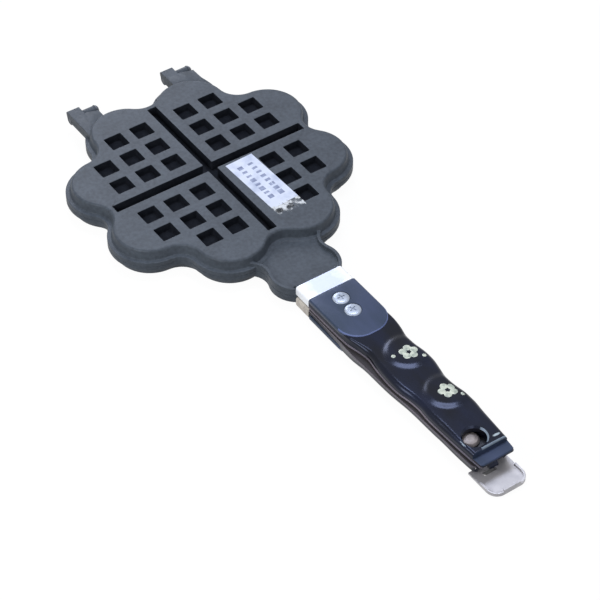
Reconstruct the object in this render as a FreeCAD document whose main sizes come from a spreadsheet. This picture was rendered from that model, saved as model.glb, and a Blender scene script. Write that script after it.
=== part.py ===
import FreeCAD, Part
import Sketcher
import math
import os

# Egg waffle pan for a hob: two eight-lobed castings hinged face to face, each with a collar and a
# moulded grip, and a swinging clip that locks the grips together.
# Frame: origin at the centre of the lower dish's underside, +Z up, the grips run along -Y,
# the hinge is at +Y. Lengths are millimetres.
# A half (casting, collar, grip, screws) is drawn with its mating plane at height zero and its
# outer face upwards. The upper half is lifted into place and the lower half is turned over.

Vector = FreeCAD.Vector

SIZES = {
    # Flower outline, at the outer face of a casting.
    "half_thickness": 9.0,
    "lobe_ring": 60.55,
    "lobe_radius": 20.9,
    "notch_radius": 13.6,
    "shoulder_round": 1.6,
    "wall_flare": 1.9,
    "flange_lip": 1.9,
    "flange_thickness": 3.0,
    # Batter cavities, pegs and the recesses behind them.
    "grid_pitch": 17.5,
    "grid_start": 15.5,
    "recess_width": 11.4,
    "recess_depth": 5.4,
    "peg_wall": 1.5,
    "peg_clearance": 2.2,
    "cavity_wall": 3.3,
    "cavity_depth": 6.4,
    "ridge_width": 9.2,
    "groove_width": 6.0,
    "groove_end_wall": 3.1,
    "groove_floor": 2.2,
    # Hinge lugs, pins and washers.
    "hinge_overhang": 9.35,
    "hinge_rise": 1.5,
    "lug_radius": 2.9,
    "lug_overhang": 3.8,
    "lug_height": 6.4,
    "lug_width": 8.3,
    "lug_gap": 0.7,
    "lug_inside": 24.6,
    "lug_root_depth": 15.45,
    "pin_radius": 1.6,
    "pin_clearance": 0.06,
    "pin_head_radius": 2.8,
    "pin_head_height": 1.5,
    "hinge_washer_radius": 3.2,
    "hinge_washer_thickness": 0.6,
    # Neck between the dish and the collar.
    "neck_root_depth": 17.45,
    "neck_root_half_width": 30.0,
    "neck_waist_half_width": 19.8,
    "neck_waist_setback": 23.2,
    "neck_waist_radius": 11.0,
    "neck_bulge_half_width": 21.7,
    "neck_bulge_setback": 13.2,
    "neck_floor": 2.4,
    "neck_rim_height": 5.0,
    "neck_rim_width": 2.0,
    "neck_end_wall": 2.0,
    # Collar, its seat and the tang in the grip.
    "neck_length": 28.75,
    "collar_length": 12.2,
    "collar_width": 31.0,
    "collar_height": 6.8,
    "collar_wall": 1.0,
    "collar_corner": 1.8,
    "grip_clearance": 0.6,
    "tang_width": 14.0,
    "tang_length": 36.0,
    "tang_thickness": 3.5,
    "tang_base": 0.9,
    # Grip.
    "grip_length": 147.1,
    "grip_half_width": 16.0,
    "grip_height": 7.4,
    "grip_edge_round": 1.6,
    "lower_grip_shortfall": 4.2,
    "panel_length": 40.9,
    "panel_half_width": 15.4,
    "panel_round": 7.0,
    "panel_height": 7.7,
    "grip_end_round": 2.0,
    "pocket_play": 0.1,
    "end_hole_radius": 6.6,
    "end_hole_setback": 15.9,
    "end_hole_lead": 0.9,
    # Lowered ledge at the end of the upper grip, and its tongue for the clip.
    "ledge_length": 7.0,
    "ledge_underside": 1.3,
    "ledge_top": 3.1,
    "tongue_half_width": 2.8,
    "tongue_thickness": 2.3,
    "tongue_drop": 1.4,
    "tongue_swing_radius": 6.6,
    # Grip screws.
    "screw_front_setback": 9.2,
    "screw_pitch": 11.2,
    "screw_radius": 2.4,
    "screw_head_radius": 5.0,
    "screw_head_height": 2.4,
    "screw_crown": 0.7,
    "screw_seat": 5.9,
    "screw_tip": 1.2,
    "screw_slot_width": 1.2,
    "screw_slot_length": 5.4,
    "screw_slot_depth": 1.3,
    # Latch: pin, bracket, rivet and clip.
    "latch_offset": 2.2,
    "latch_pin_setback": 5.5,
    "latch_pin_height": 6.6,
    "latch_pin_radius": 1.2,
    "latch_pin_play": 0.05,
    "latch_pin_length": 20.4,
    "latch_eye_wall": 1.0,
    "bracket_width": 16.4,
    "bracket_length": 20.0,
    "knuckle_width": 8.6,
    "knuckle_play": 0.3,
    "notch_play": 0.35,
    "rivet_distance": 14.2,
    "rivet_head_radius": 4.4,
    "rivet_head_height": 2.9,
    "rivet_shank_radius": 2.0,
    "rivet_tail_radius": 3.0,
    "rivet_tail_height": 1.1,
    "rivet_washer_radius": 4.5,
    "rivet_washer_thickness": 0.8,
    "rivet_washer_height": 3.3,
    "clip_width": 24.0,
    "clip_length": 19.5,
    "clip_underside": 0.4,
    "clip_thickness": 1.1,
    "clip_rim_height": 1.2,
    "clip_lip_height": 2.6,
    "clip_rim_distance": 7.0,
    "clip_corner_radius": 6.5,
    "clip_slot_distance": 3.0,
    "clip_slot_width": 2.9,
    "clip_slot_length": 8.2,
    # Plain label on the upper dish.
    "label_width": 18.6,
    "label_length": 46.0,
    "label_side_offset": 16.8,
    "label_back_reach": 4.6,
    "label_skew": 1.6,
    "label_thickness": 0.12,
    "film_length": 11.0,
    "film_thickness": 0.06,
}

LOBES = 8
HALF_LOBE_ANGLE = math.pi / LOBES

# The grip's plan and height at even steps along its length: shares of the grip's half width
# towards +X and towards -X, and of its height. Two swells on one side fit the fingers.
GRIP_SECTION_SHARES = (
    (0.956, 0.956, 0.941),
    (0.959, 0.959, 0.941),
    (0.963, 0.963, 0.941),
    (0.966, 0.969, 0.941),
    (0.969, 0.975, 0.941),
    (0.984, 0.988, 0.926),
    (0.963, 0.994, 0.890),
    (0.894, 0.975, 0.860),
    (0.894, 0.963, 0.868),
    (0.956, 0.950, 0.897),
    (0.981, 0.931, 0.904),
    (0.912, 0.900, 0.868),
    (0.831, 0.863, 0.838),
    (0.850, 0.838, 0.860),
    (0.919, 0.825, 0.890),
    (0.944, 0.812, 0.897),
    (0.900, 0.794, 0.882),
    (0.856, 0.781, 0.868),
    (0.819, 0.762, 0.853),
    (0.794, 0.738, 0.838),
    (0.769, 0.675, 0.824),
)
GRIP_CROWN_SHARE = 0.05
ARC_MIDDLE_SHARE = 1 - math.sqrt(0.5)


class Size:
    """A length worked out from the sheet: its value, and the expression that gives it."""

    def __init__(self, value, text):
        self.value = value
        self.text = text

    @staticmethod
    def of(other):
        return other if isinstance(other, Size) else Size(float(other), repr(float(other)))

    def __add__(self, other):
        other = Size.of(other)
        return Size(self.value + other.value, f"({self.text} + {other.text})")

    def __sub__(self, other):
        other = Size.of(other)
        return Size(self.value - other.value, f"({self.text} - {other.text})")

    def __mul__(self, other):
        other = Size.of(other)
        return Size(self.value * other.value, f"({self.text} * {other.text})")

    def __truediv__(self, other):
        other = Size.of(other)
        return Size(self.value / other.value, f"({self.text} / {other.text})")

    def __neg__(self):
        return self * -1

    __radd__ = __add__
    __rmul__ = __mul__


ZERO = Size(0.0, "0")


def root(size):
    """Square root of a size."""
    return Size(math.sqrt(size.value), f"sqrt({size.text})")


def make_sheet(doc):
    """Write the driving dimensions into a spreadsheet, one alias to a row."""
    sheet = doc.addObject("Spreadsheet::Sheet", "Sizes")
    for row, (name, value) in enumerate(SIZES.items(), start=1):
        sheet.set(f"A{row}", name)
        sheet.set(f"B{row}", str(value))
        sheet.setAlias(f"B{row}", name)
    doc.recompute()
    return sheet


class Sheet:
    """Reads the spreadsheet: each alias is an attribute that gives its Size."""

    def __init__(self, sheet):
        self.sheet = sheet

    def __getattr__(self, name):
        return Size(float(self.sheet.get(name)), f"Sizes.{name}")

    # Distances from the dish's centre, each worked out from the piece before it.

    @property
    def dish_reach(self):
        """To the outermost point of a lobe, at the outer face."""
        return self.lobe_ring + self.lobe_radius

    @property
    def groove_reach(self):
        """To the end of the cross groove, short of the hollow between two lobes."""
        return notch_centre_distance(self) - self.notch_radius - self.groove_end_wall

    @property
    def hinge_reach(self):
        return self.dish_reach + self.hinge_overhang

    @property
    def lug_root(self):
        return self.dish_reach - self.lug_root_depth

    @property
    def neck_root(self):
        return self.dish_reach - self.neck_root_depth

    @property
    def collar_reach(self):
        return self.dish_reach + self.neck_length

    @property
    def neck_waist_reach(self):
        return self.collar_reach - self.neck_waist_setback

    @property
    def neck_bulge_reach(self):
        return self.collar_reach - self.neck_bulge_setback

    @property
    def grip_start(self):
        return self.collar_reach + self.collar_length

    @property
    def grip_end(self):
        return self.grip_start + self.grip_length

    @property
    def lower_grip_end(self):
        return self.grip_end - self.lower_grip_shortfall

    @property
    def screw_reaches(self):
        """To the front and rear grip screws."""
        front = self.grip_start + self.screw_front_setback
        return front, front + self.screw_pitch

    @property
    def end_hole_reach(self):
        return self.grip_end - self.end_hole_setback

    @property
    def latch_pin_reach(self):
        return self.grip_end - self.latch_pin_setback

    @property
    def bracket_back_reach(self):
        return self.latch_pin_reach - self.bracket_length

    @property
    def rivet_reach(self):
        return self.latch_pin_reach - self.rivet_distance

    @property
    def clip_tip_reach(self):
        return self.latch_pin_reach + self.clip_length

    @property
    def clip_rim_start_reach(self):
        return self.latch_pin_reach + self.clip_rim_distance

    @property
    def clip_slot_reach(self):
        return self.latch_pin_reach + self.clip_slot_distance


# Sketches and features

def new_body(doc, name, placement=None, lift=None):
    """An empty body, placed, with its height tied to a size if one is given."""
    body = doc.addObject("PartDesign::Body", name)
    body.Label = name
    if placement is not None:
        body.Placement = placement
    if lift is not None:
        body.setExpression("Placement.Base.z", lift.text)
    return body


def new_sketch(body, role, name, offset=ZERO):
    """A sketch on one of the body's origin planes, moved along the plane's normal."""
    sketch = body.newObject("Sketcher::SketchObject", name)
    plane = [item for item in body.Origin.OriginFeatures if item.Role == role][0]
    sketch.AttachmentSupport = (plane, [""])
    sketch.MapMode = "FlatFace"
    if offset is not ZERO:
        sketch.setExpression("AttachmentOffset.Base.z", offset.text)
    return sketch


def bind(sketch, constraint, size):
    """Add a dimension to the sketch and tie it to a size."""
    index = sketch.addConstraint(constraint)
    sketch.setExpression(f"Constraints[{index}]", size.text)


def pin_point(sketch, edge, end, point):
    """Fix one point of an edge at a place given by two sizes."""
    bind(sketch, Sketcher.Constraint("DistanceX", -1, 1, edge, end, point[0].value), point[0])
    bind(sketch, Sketcher.Constraint("DistanceY", -1, 1, edge, end, point[1].value), point[1])


def arc_between(start, end, radius, left):
    """The short arc from start to end, whose centre is on the left or the right of the way."""
    chord = end - start
    middle = (start + end) * 0.5
    side = Vector(-chord.y, chord.x, 0).normalize() * (1 if left else -1)
    drop = math.sqrt(max(radius ** 2 - (chord.Length / 2) ** 2, 0.0))
    centre = middle + side * drop
    first, last = (start, end) if left else (end, start)
    angles = [math.atan2(p.y - centre.y, p.x - centre.x) for p in (first, last)]
    return Part.ArcOfCircle(Part.Circle(centre, Vector(0, 0, 1), radius), angles[0], angles[1])


def add_outline(sketch, points, arcs=None):
    """A closed outline through points given by sizes. arcs maps the number of an edge to its
    radius and to whether its centre is on the left of the way round."""
    arcs = arcs or {}
    places = [Vector(x.value, y.value, 0) for x, y in points]
    count = len(points)
    geometry, ends = [], []
    for number in range(count):
        start, end = places[number], places[(number + 1) % count]
        if number in arcs:
            radius, left = arcs[number]
            geometry.append(arc_between(start, end, radius.value, left))
            ends.append((1, 2) if left else (2, 1))
        else:
            geometry.append(Part.LineSegment(start, end))
            ends.append((1, 2))
    edges = sketch.addGeometry(geometry, False)
    for number in range(count):
        after = (number + 1) % count
        sketch.addConstraint(Sketcher.Constraint(
            "Coincident", edges[number], ends[number][1], edges[after], ends[after][0]))
    for number, point in enumerate(points):
        pin_point(sketch, edges[number], ends[number][0], point)
    for number, (radius, left) in arcs.items():
        bind(sketch, Sketcher.Constraint("Radius", edges[number], radius.value), radius)


def add_box_outline(sketch, low_x, high_x, low_y, high_y):
    """A rectangle given by its four sides."""
    add_outline(sketch, [(low_x, low_y), (high_x, low_y), (high_x, high_y), (low_x, high_y)])


def add_circle(sketch, x, y, radius):
    """A circle given by its centre and radius."""
    centre = Vector(x.value, y.value, 0)
    edge = sketch.addGeometry(Part.Circle(centre, Vector(0, 0, 1), radius.value), False)
    pin_point(sketch, edge, 3, (x, y))
    bind(sketch, Sketcher.Constraint("Radius", edge, radius.value), radius)


def pad(body, sketch, length, name):
    """Extrude a sketch along its normal."""
    feature = body.newObject("PartDesign::Pad", name)
    feature.Profile = sketch
    feature.setExpression("Length", length.text)
    return feature


def pocket(body, sketch, name, length=None, upward=False, both_ways=False):
    """Cut a sketch out of the body: to a depth, or all the way."""
    feature = body.newObject("PartDesign::Pocket", name)
    feature.Profile = sketch
    if length is None:
        feature.Type = 1
    else:
        feature.setExpression("Length", length.text)
    feature.Reversed = upward
    feature.Midplane = both_ways
    return feature


def revolve(body, sketch, axis, name):
    """Turn a sketch a full turn about its own axis, H_Axis or V_Axis."""
    feature = body.newObject("PartDesign::Revolution", name)
    feature.Profile = sketch
    feature.ReferenceAxis = (sketch, [axis])
    feature.Angle = 360
    return feature


def quarter_pattern(doc, body, sketch, features, name):
    """Repeat features four times about the vertical axis."""
    doc.recompute()
    pattern = body.newObject("PartDesign::PolarPattern", name)
    pattern.Originals = features
    pattern.Axis = (sketch, ["N_Axis"])
    pattern.Angle = 360
    pattern.Occurrences = 4
    body.Tip = pattern
    return pattern


# Flower outline

def notch_centre_distance(s):
    """Distance from the dish's centre to the centre of the arc between two lobes."""
    reach = s.lobe_radius + s.notch_radius
    half_spacing = s.lobe_ring * math.sin(HALF_LOBE_ANGLE)
    return s.lobe_ring * math.cos(HALF_LOBE_ANGLE) + root(reach * reach - half_spacing * half_spacing)


def on_ring(radius, angle):
    """The point at an angle on a ring about the origin."""
    return (radius * math.cos(angle), radius * math.sin(angle))


def add_flower(s, sketch, growth):
    """The eight-lobed outline, grown outwards by a size."""
    lobe, notch = s.lobe_radius + growth, s.notch_radius - growth
    far = notch_centre_distance(s)
    geometry = []
    for number in range(LOBES):
        angle = (2 * number + 1) * HALF_LOBE_ANGLE
        x, y = on_ring(s.lobe_ring.value, angle)
        hub = Vector(x, y, 0)
        hollows = [Vector(*on_ring(far.value, angle + side * HALF_LOBE_ANGLE), 0) for side in (-1, 1)]
        after = Vector(*on_ring(s.lobe_ring.value, angle + 2 * HALF_LOBE_ANGLE), 0)
        turns = [math.atan2(h.y - hub.y, h.x - hub.x) for h in hollows]
        back = [math.atan2(p.y - hollows[1].y, p.x - hollows[1].x) for p in (after, hub)]
        up = Vector(0, 0, 1)
        geometry.append(Part.ArcOfCircle(Part.Circle(hub, up, lobe.value), turns[0], turns[1]))
        geometry.append(Part.ArcOfCircle(Part.Circle(hollows[1], up, notch.value), back[0], back[1]))
    edges = sketch.addGeometry(geometry, False)
    for number in range(LOBES):
        bulge, hollow = edges[2 * number], edges[2 * number + 1]
        following = edges[(2 * number + 2) % (2 * LOBES)]
        sketch.addConstraint(Sketcher.Constraint("Tangent", bulge, 2, hollow, 2))
        sketch.addConstraint(Sketcher.Constraint("Tangent", hollow, 1, following, 1))
    for number in range(LOBES):
        angle = (2 * number + 1) * HALF_LOBE_ANGLE
        pin_point(sketch, edges[2 * number], 3, on_ring(s.lobe_ring, angle))
        bind(sketch, Sketcher.Constraint("Radius", edges[2 * number], lobe.value), lobe)
        bind(sketch, Sketcher.Constraint("Radius", edges[2 * number + 1], notch.value), notch)


def add_cavity_outline(s, sketch):
    """One quarter of the flower, drawn in by the wall and cut back from the two ridges."""
    growth = s.wall_flare - s.cavity_wall
    lobe, notch = s.lobe_radius + growth, s.notch_radius - growth
    far = notch_centre_distance(s)
    ridge = s.ridge_width / 2
    edge = far - root(notch * notch - ridge * ridge)

    def touch(lobe_angle, notch_angle):
        """Where a lobe's arc meets a hollow's arc."""
        share = lobe / (lobe + notch)
        hub, hollow = on_ring(s.lobe_ring, lobe_angle), on_ring(far, notch_angle)
        return tuple(a + (b - a) * share for a, b in zip(hub, hollow))

    first, second = HALF_LOBE_ANGLE, 3 * HALF_LOBE_ANGLE
    points = [
        (ridge, ridge),
        (edge, ridge),
        touch(first, 0),
        touch(first, 2 * HALF_LOBE_ANGLE),
        touch(second, 2 * HALF_LOBE_ANGLE),
        touch(second, 4 * HALF_LOBE_ANGLE),
        (ridge, edge),
    ]
    arcs = {1: (notch, False), 2: (lobe, True), 3: (notch, False), 4: (lobe, True), 5: (notch, False)}
    add_outline(sketch, points, arcs)


def add_grid_squares(s, sketch, width):
    """Eight squares of one quarter: three by three without the outer corner."""
    for column in range(3):
        for row in range(3):
            if column == 2 and row == 2:
                continue
            x = s.grid_start + s.grid_pitch * column
            y = s.grid_start + s.grid_pitch * row
            half = width / 2
            add_box_outline(sketch, x - half, x + half, y - half, y + half)


# Casting

def neck_arcs(s):
    """Centres and radii of the neck's waist and bulge, which touch: (x, y, radius) of each."""
    step = s.neck_bulge_half_width - s.neck_waist_half_width
    run = s.neck_bulge_reach - s.neck_waist_reach
    sum_of_radii = (step * step + run * run) / (step * 2)
    bulge_radius = sum_of_radii - s.neck_waist_radius
    waist = (s.neck_waist_half_width + s.neck_waist_radius, -s.neck_waist_reach, s.neck_waist_radius)
    bulge = (s.neck_bulge_half_width - bulge_radius, -s.neck_bulge_reach, bulge_radius)
    return waist, bulge


def add_neck_outline(s, sketch, inset, end):
    """The neck's plan, drawn in by a rim and ending at a reach."""
    (waist_x, waist_y, waist_r), (bulge_x, bulge_y, bulge_r) = neck_arcs(s)
    waist_radius, bulge_radius = waist_r + inset, bulge_r - inset
    root_x = s.neck_root_half_width - inset
    drop = waist_x - root_x
    root_y = waist_y + root(waist_radius * waist_radius - drop * drop)
    share = waist_radius / (waist_radius + bulge_radius)
    meet_x = waist_x + (bulge_x - waist_x) * share
    meet_y = waist_y + (bulge_y - waist_y) * share
    fall = bulge_y + end
    end_x = bulge_x + root(bulge_radius * bulge_radius - fall * fall)
    points = [
        (-root_x, -s.neck_root), (-root_x, root_y), (-meet_x, meet_y), (-end_x, -end),
        (end_x, -end), (meet_x, meet_y), (root_x, root_y), (root_x, -s.neck_root),
    ]
    arcs = {1: (waist_radius, False), 2: (bulge_radius, True), 4: (bulge_radius, True),
            5: (waist_radius, False)}
    add_outline(sketch, points, arcs)


def add_neck(s, body):
    """Channel-shaped neck with an end wall, the collar's seat and the tang."""
    sketch = new_sketch(body, "XY_Plane", "neck_plan")
    add_neck_outline(s, sketch, ZERO, s.collar_reach)
    pad(body, sketch, s.neck_rim_height, "neck")
    sketch = new_sketch(body, "XY_Plane", "neck_channel_plan", s.neck_rim_height)
    add_neck_outline(s, sketch, s.neck_rim_width, s.collar_reach - s.neck_end_wall)
    pocket(body, sketch, "neck_channel", s.neck_rim_height - s.neck_floor)
    seat_half = s.collar_width / 2 - s.collar_wall
    sketch = new_sketch(body, "XY_Plane", "collar_seat_plan", s.grip_clearance + s.collar_wall)
    add_box_outline(sketch, -seat_half, seat_half, -s.grip_start, s.neck_end_wall - s.collar_reach)
    pad(body, sketch, s.collar_height - s.collar_wall * 2, "collar_seat")
    sketch = new_sketch(body, "XY_Plane", "tang_plan", s.tang_base)
    tang_half = s.tang_width / 2
    add_box_outline(sketch, -tang_half, tang_half, -s.grip_start - s.tang_length, -s.grip_start)
    pad(body, sketch, s.tang_thickness, "tang")


def add_dish(s, doc, body):
    """Flange and flared wall of the flower, with a rounded shoulder."""
    sketch = new_sketch(body, "XY_Plane", "flange_plan")
    add_flower(s, sketch, s.wall_flare + s.flange_lip)
    pad(body, sketch, s.flange_thickness, "flange")
    foot = new_sketch(body, "XY_Plane", "wall_foot_plan")
    add_flower(s, foot, s.wall_flare)
    face = new_sketch(body, "XY_Plane", "outer_face_plan", s.half_thickness)
    add_flower(s, face, ZERO)
    wall = body.newObject("PartDesign::AdditiveLoft", "wall")
    wall.Profile = foot
    wall.Sections = [face]
    wall.Ruled = True
    doc.recompute()
    top = s.half_thickness.value
    names = []
    for number, edge in enumerate(wall.Shape.Edges, start=1):
        if all(abs(vertex.Z - top) < 0.001 * top for vertex in edge.Vertexes):
            names.append(f"Edge{number}")
    shoulder = body.newObject("PartDesign::Fillet", "shoulder")
    shoulder.Base = (wall, names)
    shoulder.setExpression("Radius", s.shoulder_round.text)


def add_lugs(s, body, axis):
    """Two hinge lugs, each round about the pin and squared up towards the outer face. axis is the
    height of the pin's axis over the mating plane."""
    radius, middle = s.lug_radius, s.hinge_reach
    near = middle - root(radius * radius - axis * axis)
    end = middle + s.lug_overhang
    starts = {"left": -s.lug_inside - s.lug_gap - s.lug_width * 2, "right": s.lug_inside}
    for side, start in starts.items():
        sketch = new_sketch(body, "YZ_Plane", f"{side}_lug_side", start)
        points = [(s.lug_root, ZERO), (near, ZERO), (middle, axis - radius), (middle + radius, axis),
                  (end, s.lug_height - radius / 2), (end - radius / 2, s.lug_height),
                  (s.lug_root, s.lug_height)]
        arcs = {1: (radius, True), 2: (radius, True), 4: (radius / 2, True)}
        add_outline(sketch, points, arcs)
        pad(body, sketch, s.lug_width, f"{side}_lug")


def cut_cavities(s, doc, body):
    """Four batter cavities: open to the mating plane, with pegs left standing in the floor."""
    mouth = new_sketch(body, "XY_Plane", "cavity_mouth_plan")
    add_cavity_outline(s, mouth)
    first = pocket(body, mouth, "cavity_mouth", s.peg_clearance, upward=True)
    floor = new_sketch(body, "XY_Plane", "cavity_floor_plan", s.peg_clearance)
    add_cavity_outline(s, floor)
    add_grid_squares(s, floor, s.recess_width + s.peg_wall * 2)
    second = pocket(body, floor, "cavity_floor", s.cavity_depth - s.peg_clearance, upward=True)
    quarter_pattern(doc, body, mouth, [first, second], "cavities")


def cut_outer_face(s, doc, body):
    """The recesses behind the pegs and the cross-shaped groove behind the ridges."""
    squares = new_sketch(body, "XY_Plane", "recess_plan", s.half_thickness)
    add_grid_squares(s, squares, s.recess_width)
    recesses = pocket(body, squares, "quarter_of_recesses", s.recess_depth)
    quarter_pattern(doc, body, squares, [recesses], "recesses")
    cross = new_sketch(body, "XY_Plane", "groove_plan", s.half_thickness)
    half, reach = s.groove_width / 2, s.groove_reach
    points = [(half, half), (reach, half), (reach, -half), (half, -half), (half, -reach),
              (-half, -reach), (-half, -half), (-reach, -half), (-reach, half), (-half, half),
              (-half, reach), (half, reach)]
    add_outline(cross, points)
    pocket(body, cross, "groove", s.half_thickness - s.groove_floor)


def make_plate(s, doc, name, placement, axis, bore_radius):
    """One casting: flower dish, lugs, neck and tang."""
    body = new_body(doc, name, placement, s.half_thickness)
    add_neck(s, body)
    add_dish(s, doc, body)
    add_lugs(s, body, axis)
    cut_cavities(s, doc, body)
    cut_outer_face(s, doc, body)
    sketch = new_sketch(body, "YZ_Plane", "pin_bore_side")
    add_circle(sketch, s.hinge_reach, axis, bore_radius)
    pocket(body, sketch, "pin_bores", both_ways=True)
    sketch = new_sketch(body, "XY_Plane", "screw_hole_plan")
    for reach in s.screw_reaches:
        add_circle(sketch, ZERO, -reach, s.screw_radius)
    pocket(body, sketch, "screw_holes", upward=True)
    return body


# Hinge hardware

def hinge_body(s, doc, name):
    """An empty body whose origin is on the hinge's axis."""
    body = new_body(doc, name)
    body.setExpression("Placement.Base.y", s.hinge_reach.text)
    body.setExpression("Placement.Base.z", (s.half_thickness + s.hinge_rise).text)
    return body


def hinge_span(s, side):
    """Where a pair of lugs starts and ends across the pan. side is -1 or 1."""
    near, far = s.lug_inside, s.lug_inside + s.lug_width * 2 + s.lug_gap
    return (near, far) if side > 0 else (-far, -near)


def make_hinge_pin(s, doc, name, side):
    """A headed pin through one pair of lugs, its plain end flush with the lug."""
    body = hinge_body(s, doc, name)
    start, end = hinge_span(s, side)
    head = end + s.hinge_washer_thickness
    crown = s.pin_head_height / 2
    sketch = new_sketch(body, "XY_Plane", "pin_profile")
    add_outline(sketch, [
        (start, ZERO), (start, s.pin_radius), (head, s.pin_radius), (head, s.pin_head_radius),
        (head + crown, s.pin_head_radius), (head + s.pin_head_height, s.pin_head_radius - crown),
        (head + s.pin_head_height, ZERO),
    ])
    revolve(body, sketch, "H_Axis", "pin")
    return body


def make_hinge_washer(s, doc, name, side):
    """The thin washer under a hinge pin's head."""
    body = hinge_body(s, doc, name)
    sketch = new_sketch(body, "YZ_Plane", "washer_side", hinge_span(s, side)[1])
    add_circle(sketch, ZERO, ZERO, s.hinge_washer_radius)
    add_circle(sketch, ZERO, ZERO, s.pin_radius)
    pad(body, sketch, s.hinge_washer_thickness, "washer")
    return body


# Collar and grip screws

def make_collar(s, doc, name, placement):
    """A rectangular pressed sleeve that closes the gap between the neck and the grip."""
    body = new_body(doc, name, placement, s.half_thickness)
    sketch = new_sketch(body, "XZ_Plane", "collar_section", s.collar_reach)
    half, low = s.collar_width / 2, s.grip_clearance
    high, corner = s.grip_clearance + s.collar_height, s.collar_corner
    points = [(half - corner, low), (half, low + corner), (half, high - corner), (half - corner, high),
              (corner - half, high), (-half, high - corner), (-half, low + corner),
              (corner - half, low)]
    add_outline(sketch, points, {edge: (corner, True) for edge in (0, 2, 4, 6)})
    wall = s.collar_wall
    add_box_outline(sketch, wall - half, half - wall, low + wall, high - wall)
    pad(body, sketch, s.collar_length, "sleeve")
    return body


def make_screw(s, doc, name, placement, reach):
    """A cross-slot pan-head screw through the grip into the tang."""
    body = new_body(doc, name, placement, s.half_thickness)
    body.setExpression("Placement.Base.y", (-reach).text)
    sketch = new_sketch(body, "XZ_Plane", "screw_profile")
    top = s.screw_seat + s.screw_head_height
    brim = top - s.screw_crown
    points = [(ZERO, s.screw_tip), (s.screw_radius, s.screw_tip), (s.screw_radius, s.screw_seat),
              (s.screw_head_radius, s.screw_seat), (s.screw_head_radius, brim),
              (s.screw_head_radius * 0.8, top), (ZERO, top)]
    add_outline(sketch, points)
    revolve(body, sketch, "V_Axis", "screw")
    cross = new_sketch(body, "XY_Plane", "cross_slot_plan", top)
    half, arm = s.screw_slot_width / 2, s.screw_slot_length / 2
    points = [(half, half), (arm, half), (arm, -half), (half, -half), (half, -arm), (-half, -arm),
              (-half, -half), (-arm, -half), (-arm, half), (-half, half), (-half, arm), (half, arm)]
    add_outline(cross, points)
    pocket(body, cross, "cross_slot", s.screw_slot_depth)
    return body


# Grips

def box(low_x, high_x, low_y, high_y, low_z, high_z):
    """A plain block between two corners."""
    return Part.makeBox(high_x - low_x, high_y - low_y, high_z - low_z, Vector(low_x, low_y, low_z))


def grip_section(s, y, plus, minus, top):
    """The grip's cross-section: flat foot, upright sides, rounded edges and a low crown.
    plus and minus are its half widths towards +X and -X."""
    base, edge = s.grip_clearance.value, s.grip_edge_round.value
    bevel = edge * ARC_MIDDLE_SHARE
    crown = top + (top - base) * GRIP_CROWN_SHARE

    def side(half, sign):
        """Foot, top of the upright side, middle of the rounding and its end."""
        return [Vector(half * sign, y, base), Vector(half * sign, y, top - edge),
                Vector((half - bevel) * sign, y, top - bevel), Vector((half - edge) * sign, y, top)]

    right, left = side(plus, 1), side(minus, -1)
    edges = [
        Part.LineSegment(left[0], right[0]).toShape(),
        Part.LineSegment(right[0], right[1]).toShape(),
        Part.Arc(right[1], right[2], right[3]).toShape(),
        Part.Arc(right[3], Vector((plus - minus) / 2, y, crown), left[3]).toShape(),
        Part.Arc(left[3], left[2], left[1]).toShape(),
        Part.LineSegment(left[1], left[0]).toShape(),
    ]
    return Part.Wire(edges)


def grip_blank(s, reach, turned):
    """The swelling grip, lofted through its sections and cut at a reach with rounded corners.
    turned swaps its two sides, for the half that is turned over."""
    start, end = -s.grip_start.value, -reach.value
    base = s.grip_clearance.value
    rise = s.grip_height.value - base
    half = s.grip_half_width.value
    step = s.grip_length.value / (len(GRIP_SECTION_SHARES) - 1)
    wires = []
    for number, (right, left, height) in enumerate(GRIP_SECTION_SHARES):
        plus, minus = (left, right) if turned else (right, left)
        wires.append(grip_section(s, start - number * step, plus * half, minus * half,
                                  base + height * rise))
    blank = Part.makeLoft(wires, True, False)
    radius, top = s.grip_end_round.value, s.grip_height.value
    right, left, height = GRIP_SECTION_SHARES[-1]
    plus, minus = (left, right) if turned else (right, left)
    tail = box(-minus * half, plus * half, end, start, 0, top)
    corners = [edge for edge in tail.Edges
               if abs(edge.tangentAt(edge.FirstParameter).z) > abs(edge.tangentAt(edge.FirstParameter).y)
               and edge.CenterOfMass.y < (start + end) / 2]
    tail = tail.makeFillet(radius, corners)
    wide = box(-half * 2, half * 2, end + radius * 2, start, 0, top * 2)
    return blank.common(tail.fuse(wide))


def panel_block(s):
    """The raised flat panel round the screws, with a U-shaped end."""
    start = -s.grip_start.value
    end = start - s.panel_length.value
    half, radius, low = s.panel_half_width.value, s.panel_round.value, s.grip_edge_round.value
    bevel = radius * ARC_MIDDLE_SHARE
    right = [Vector(half, start, low), Vector(half, end + radius, low),
             Vector(half - bevel, end + bevel, low), Vector(half - radius, end, low)]
    left = [Vector(-point.x, point.y, low) for point in right]
    edges = [
        Part.LineSegment(left[0], right[0]).toShape(),
        Part.LineSegment(right[0], right[1]).toShape(),
        Part.Arc(right[1], right[2], right[3]).toShape(),
        Part.LineSegment(right[3], left[3]).toShape(),
        Part.Arc(left[3], left[2], left[1]).toShape(),
        Part.LineSegment(left[1], left[0]).toShape(),
    ]
    face = Part.Face(Part.Wire(edges))
    return face.extrude(Vector(0, 0, s.panel_height.value - low))


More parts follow.
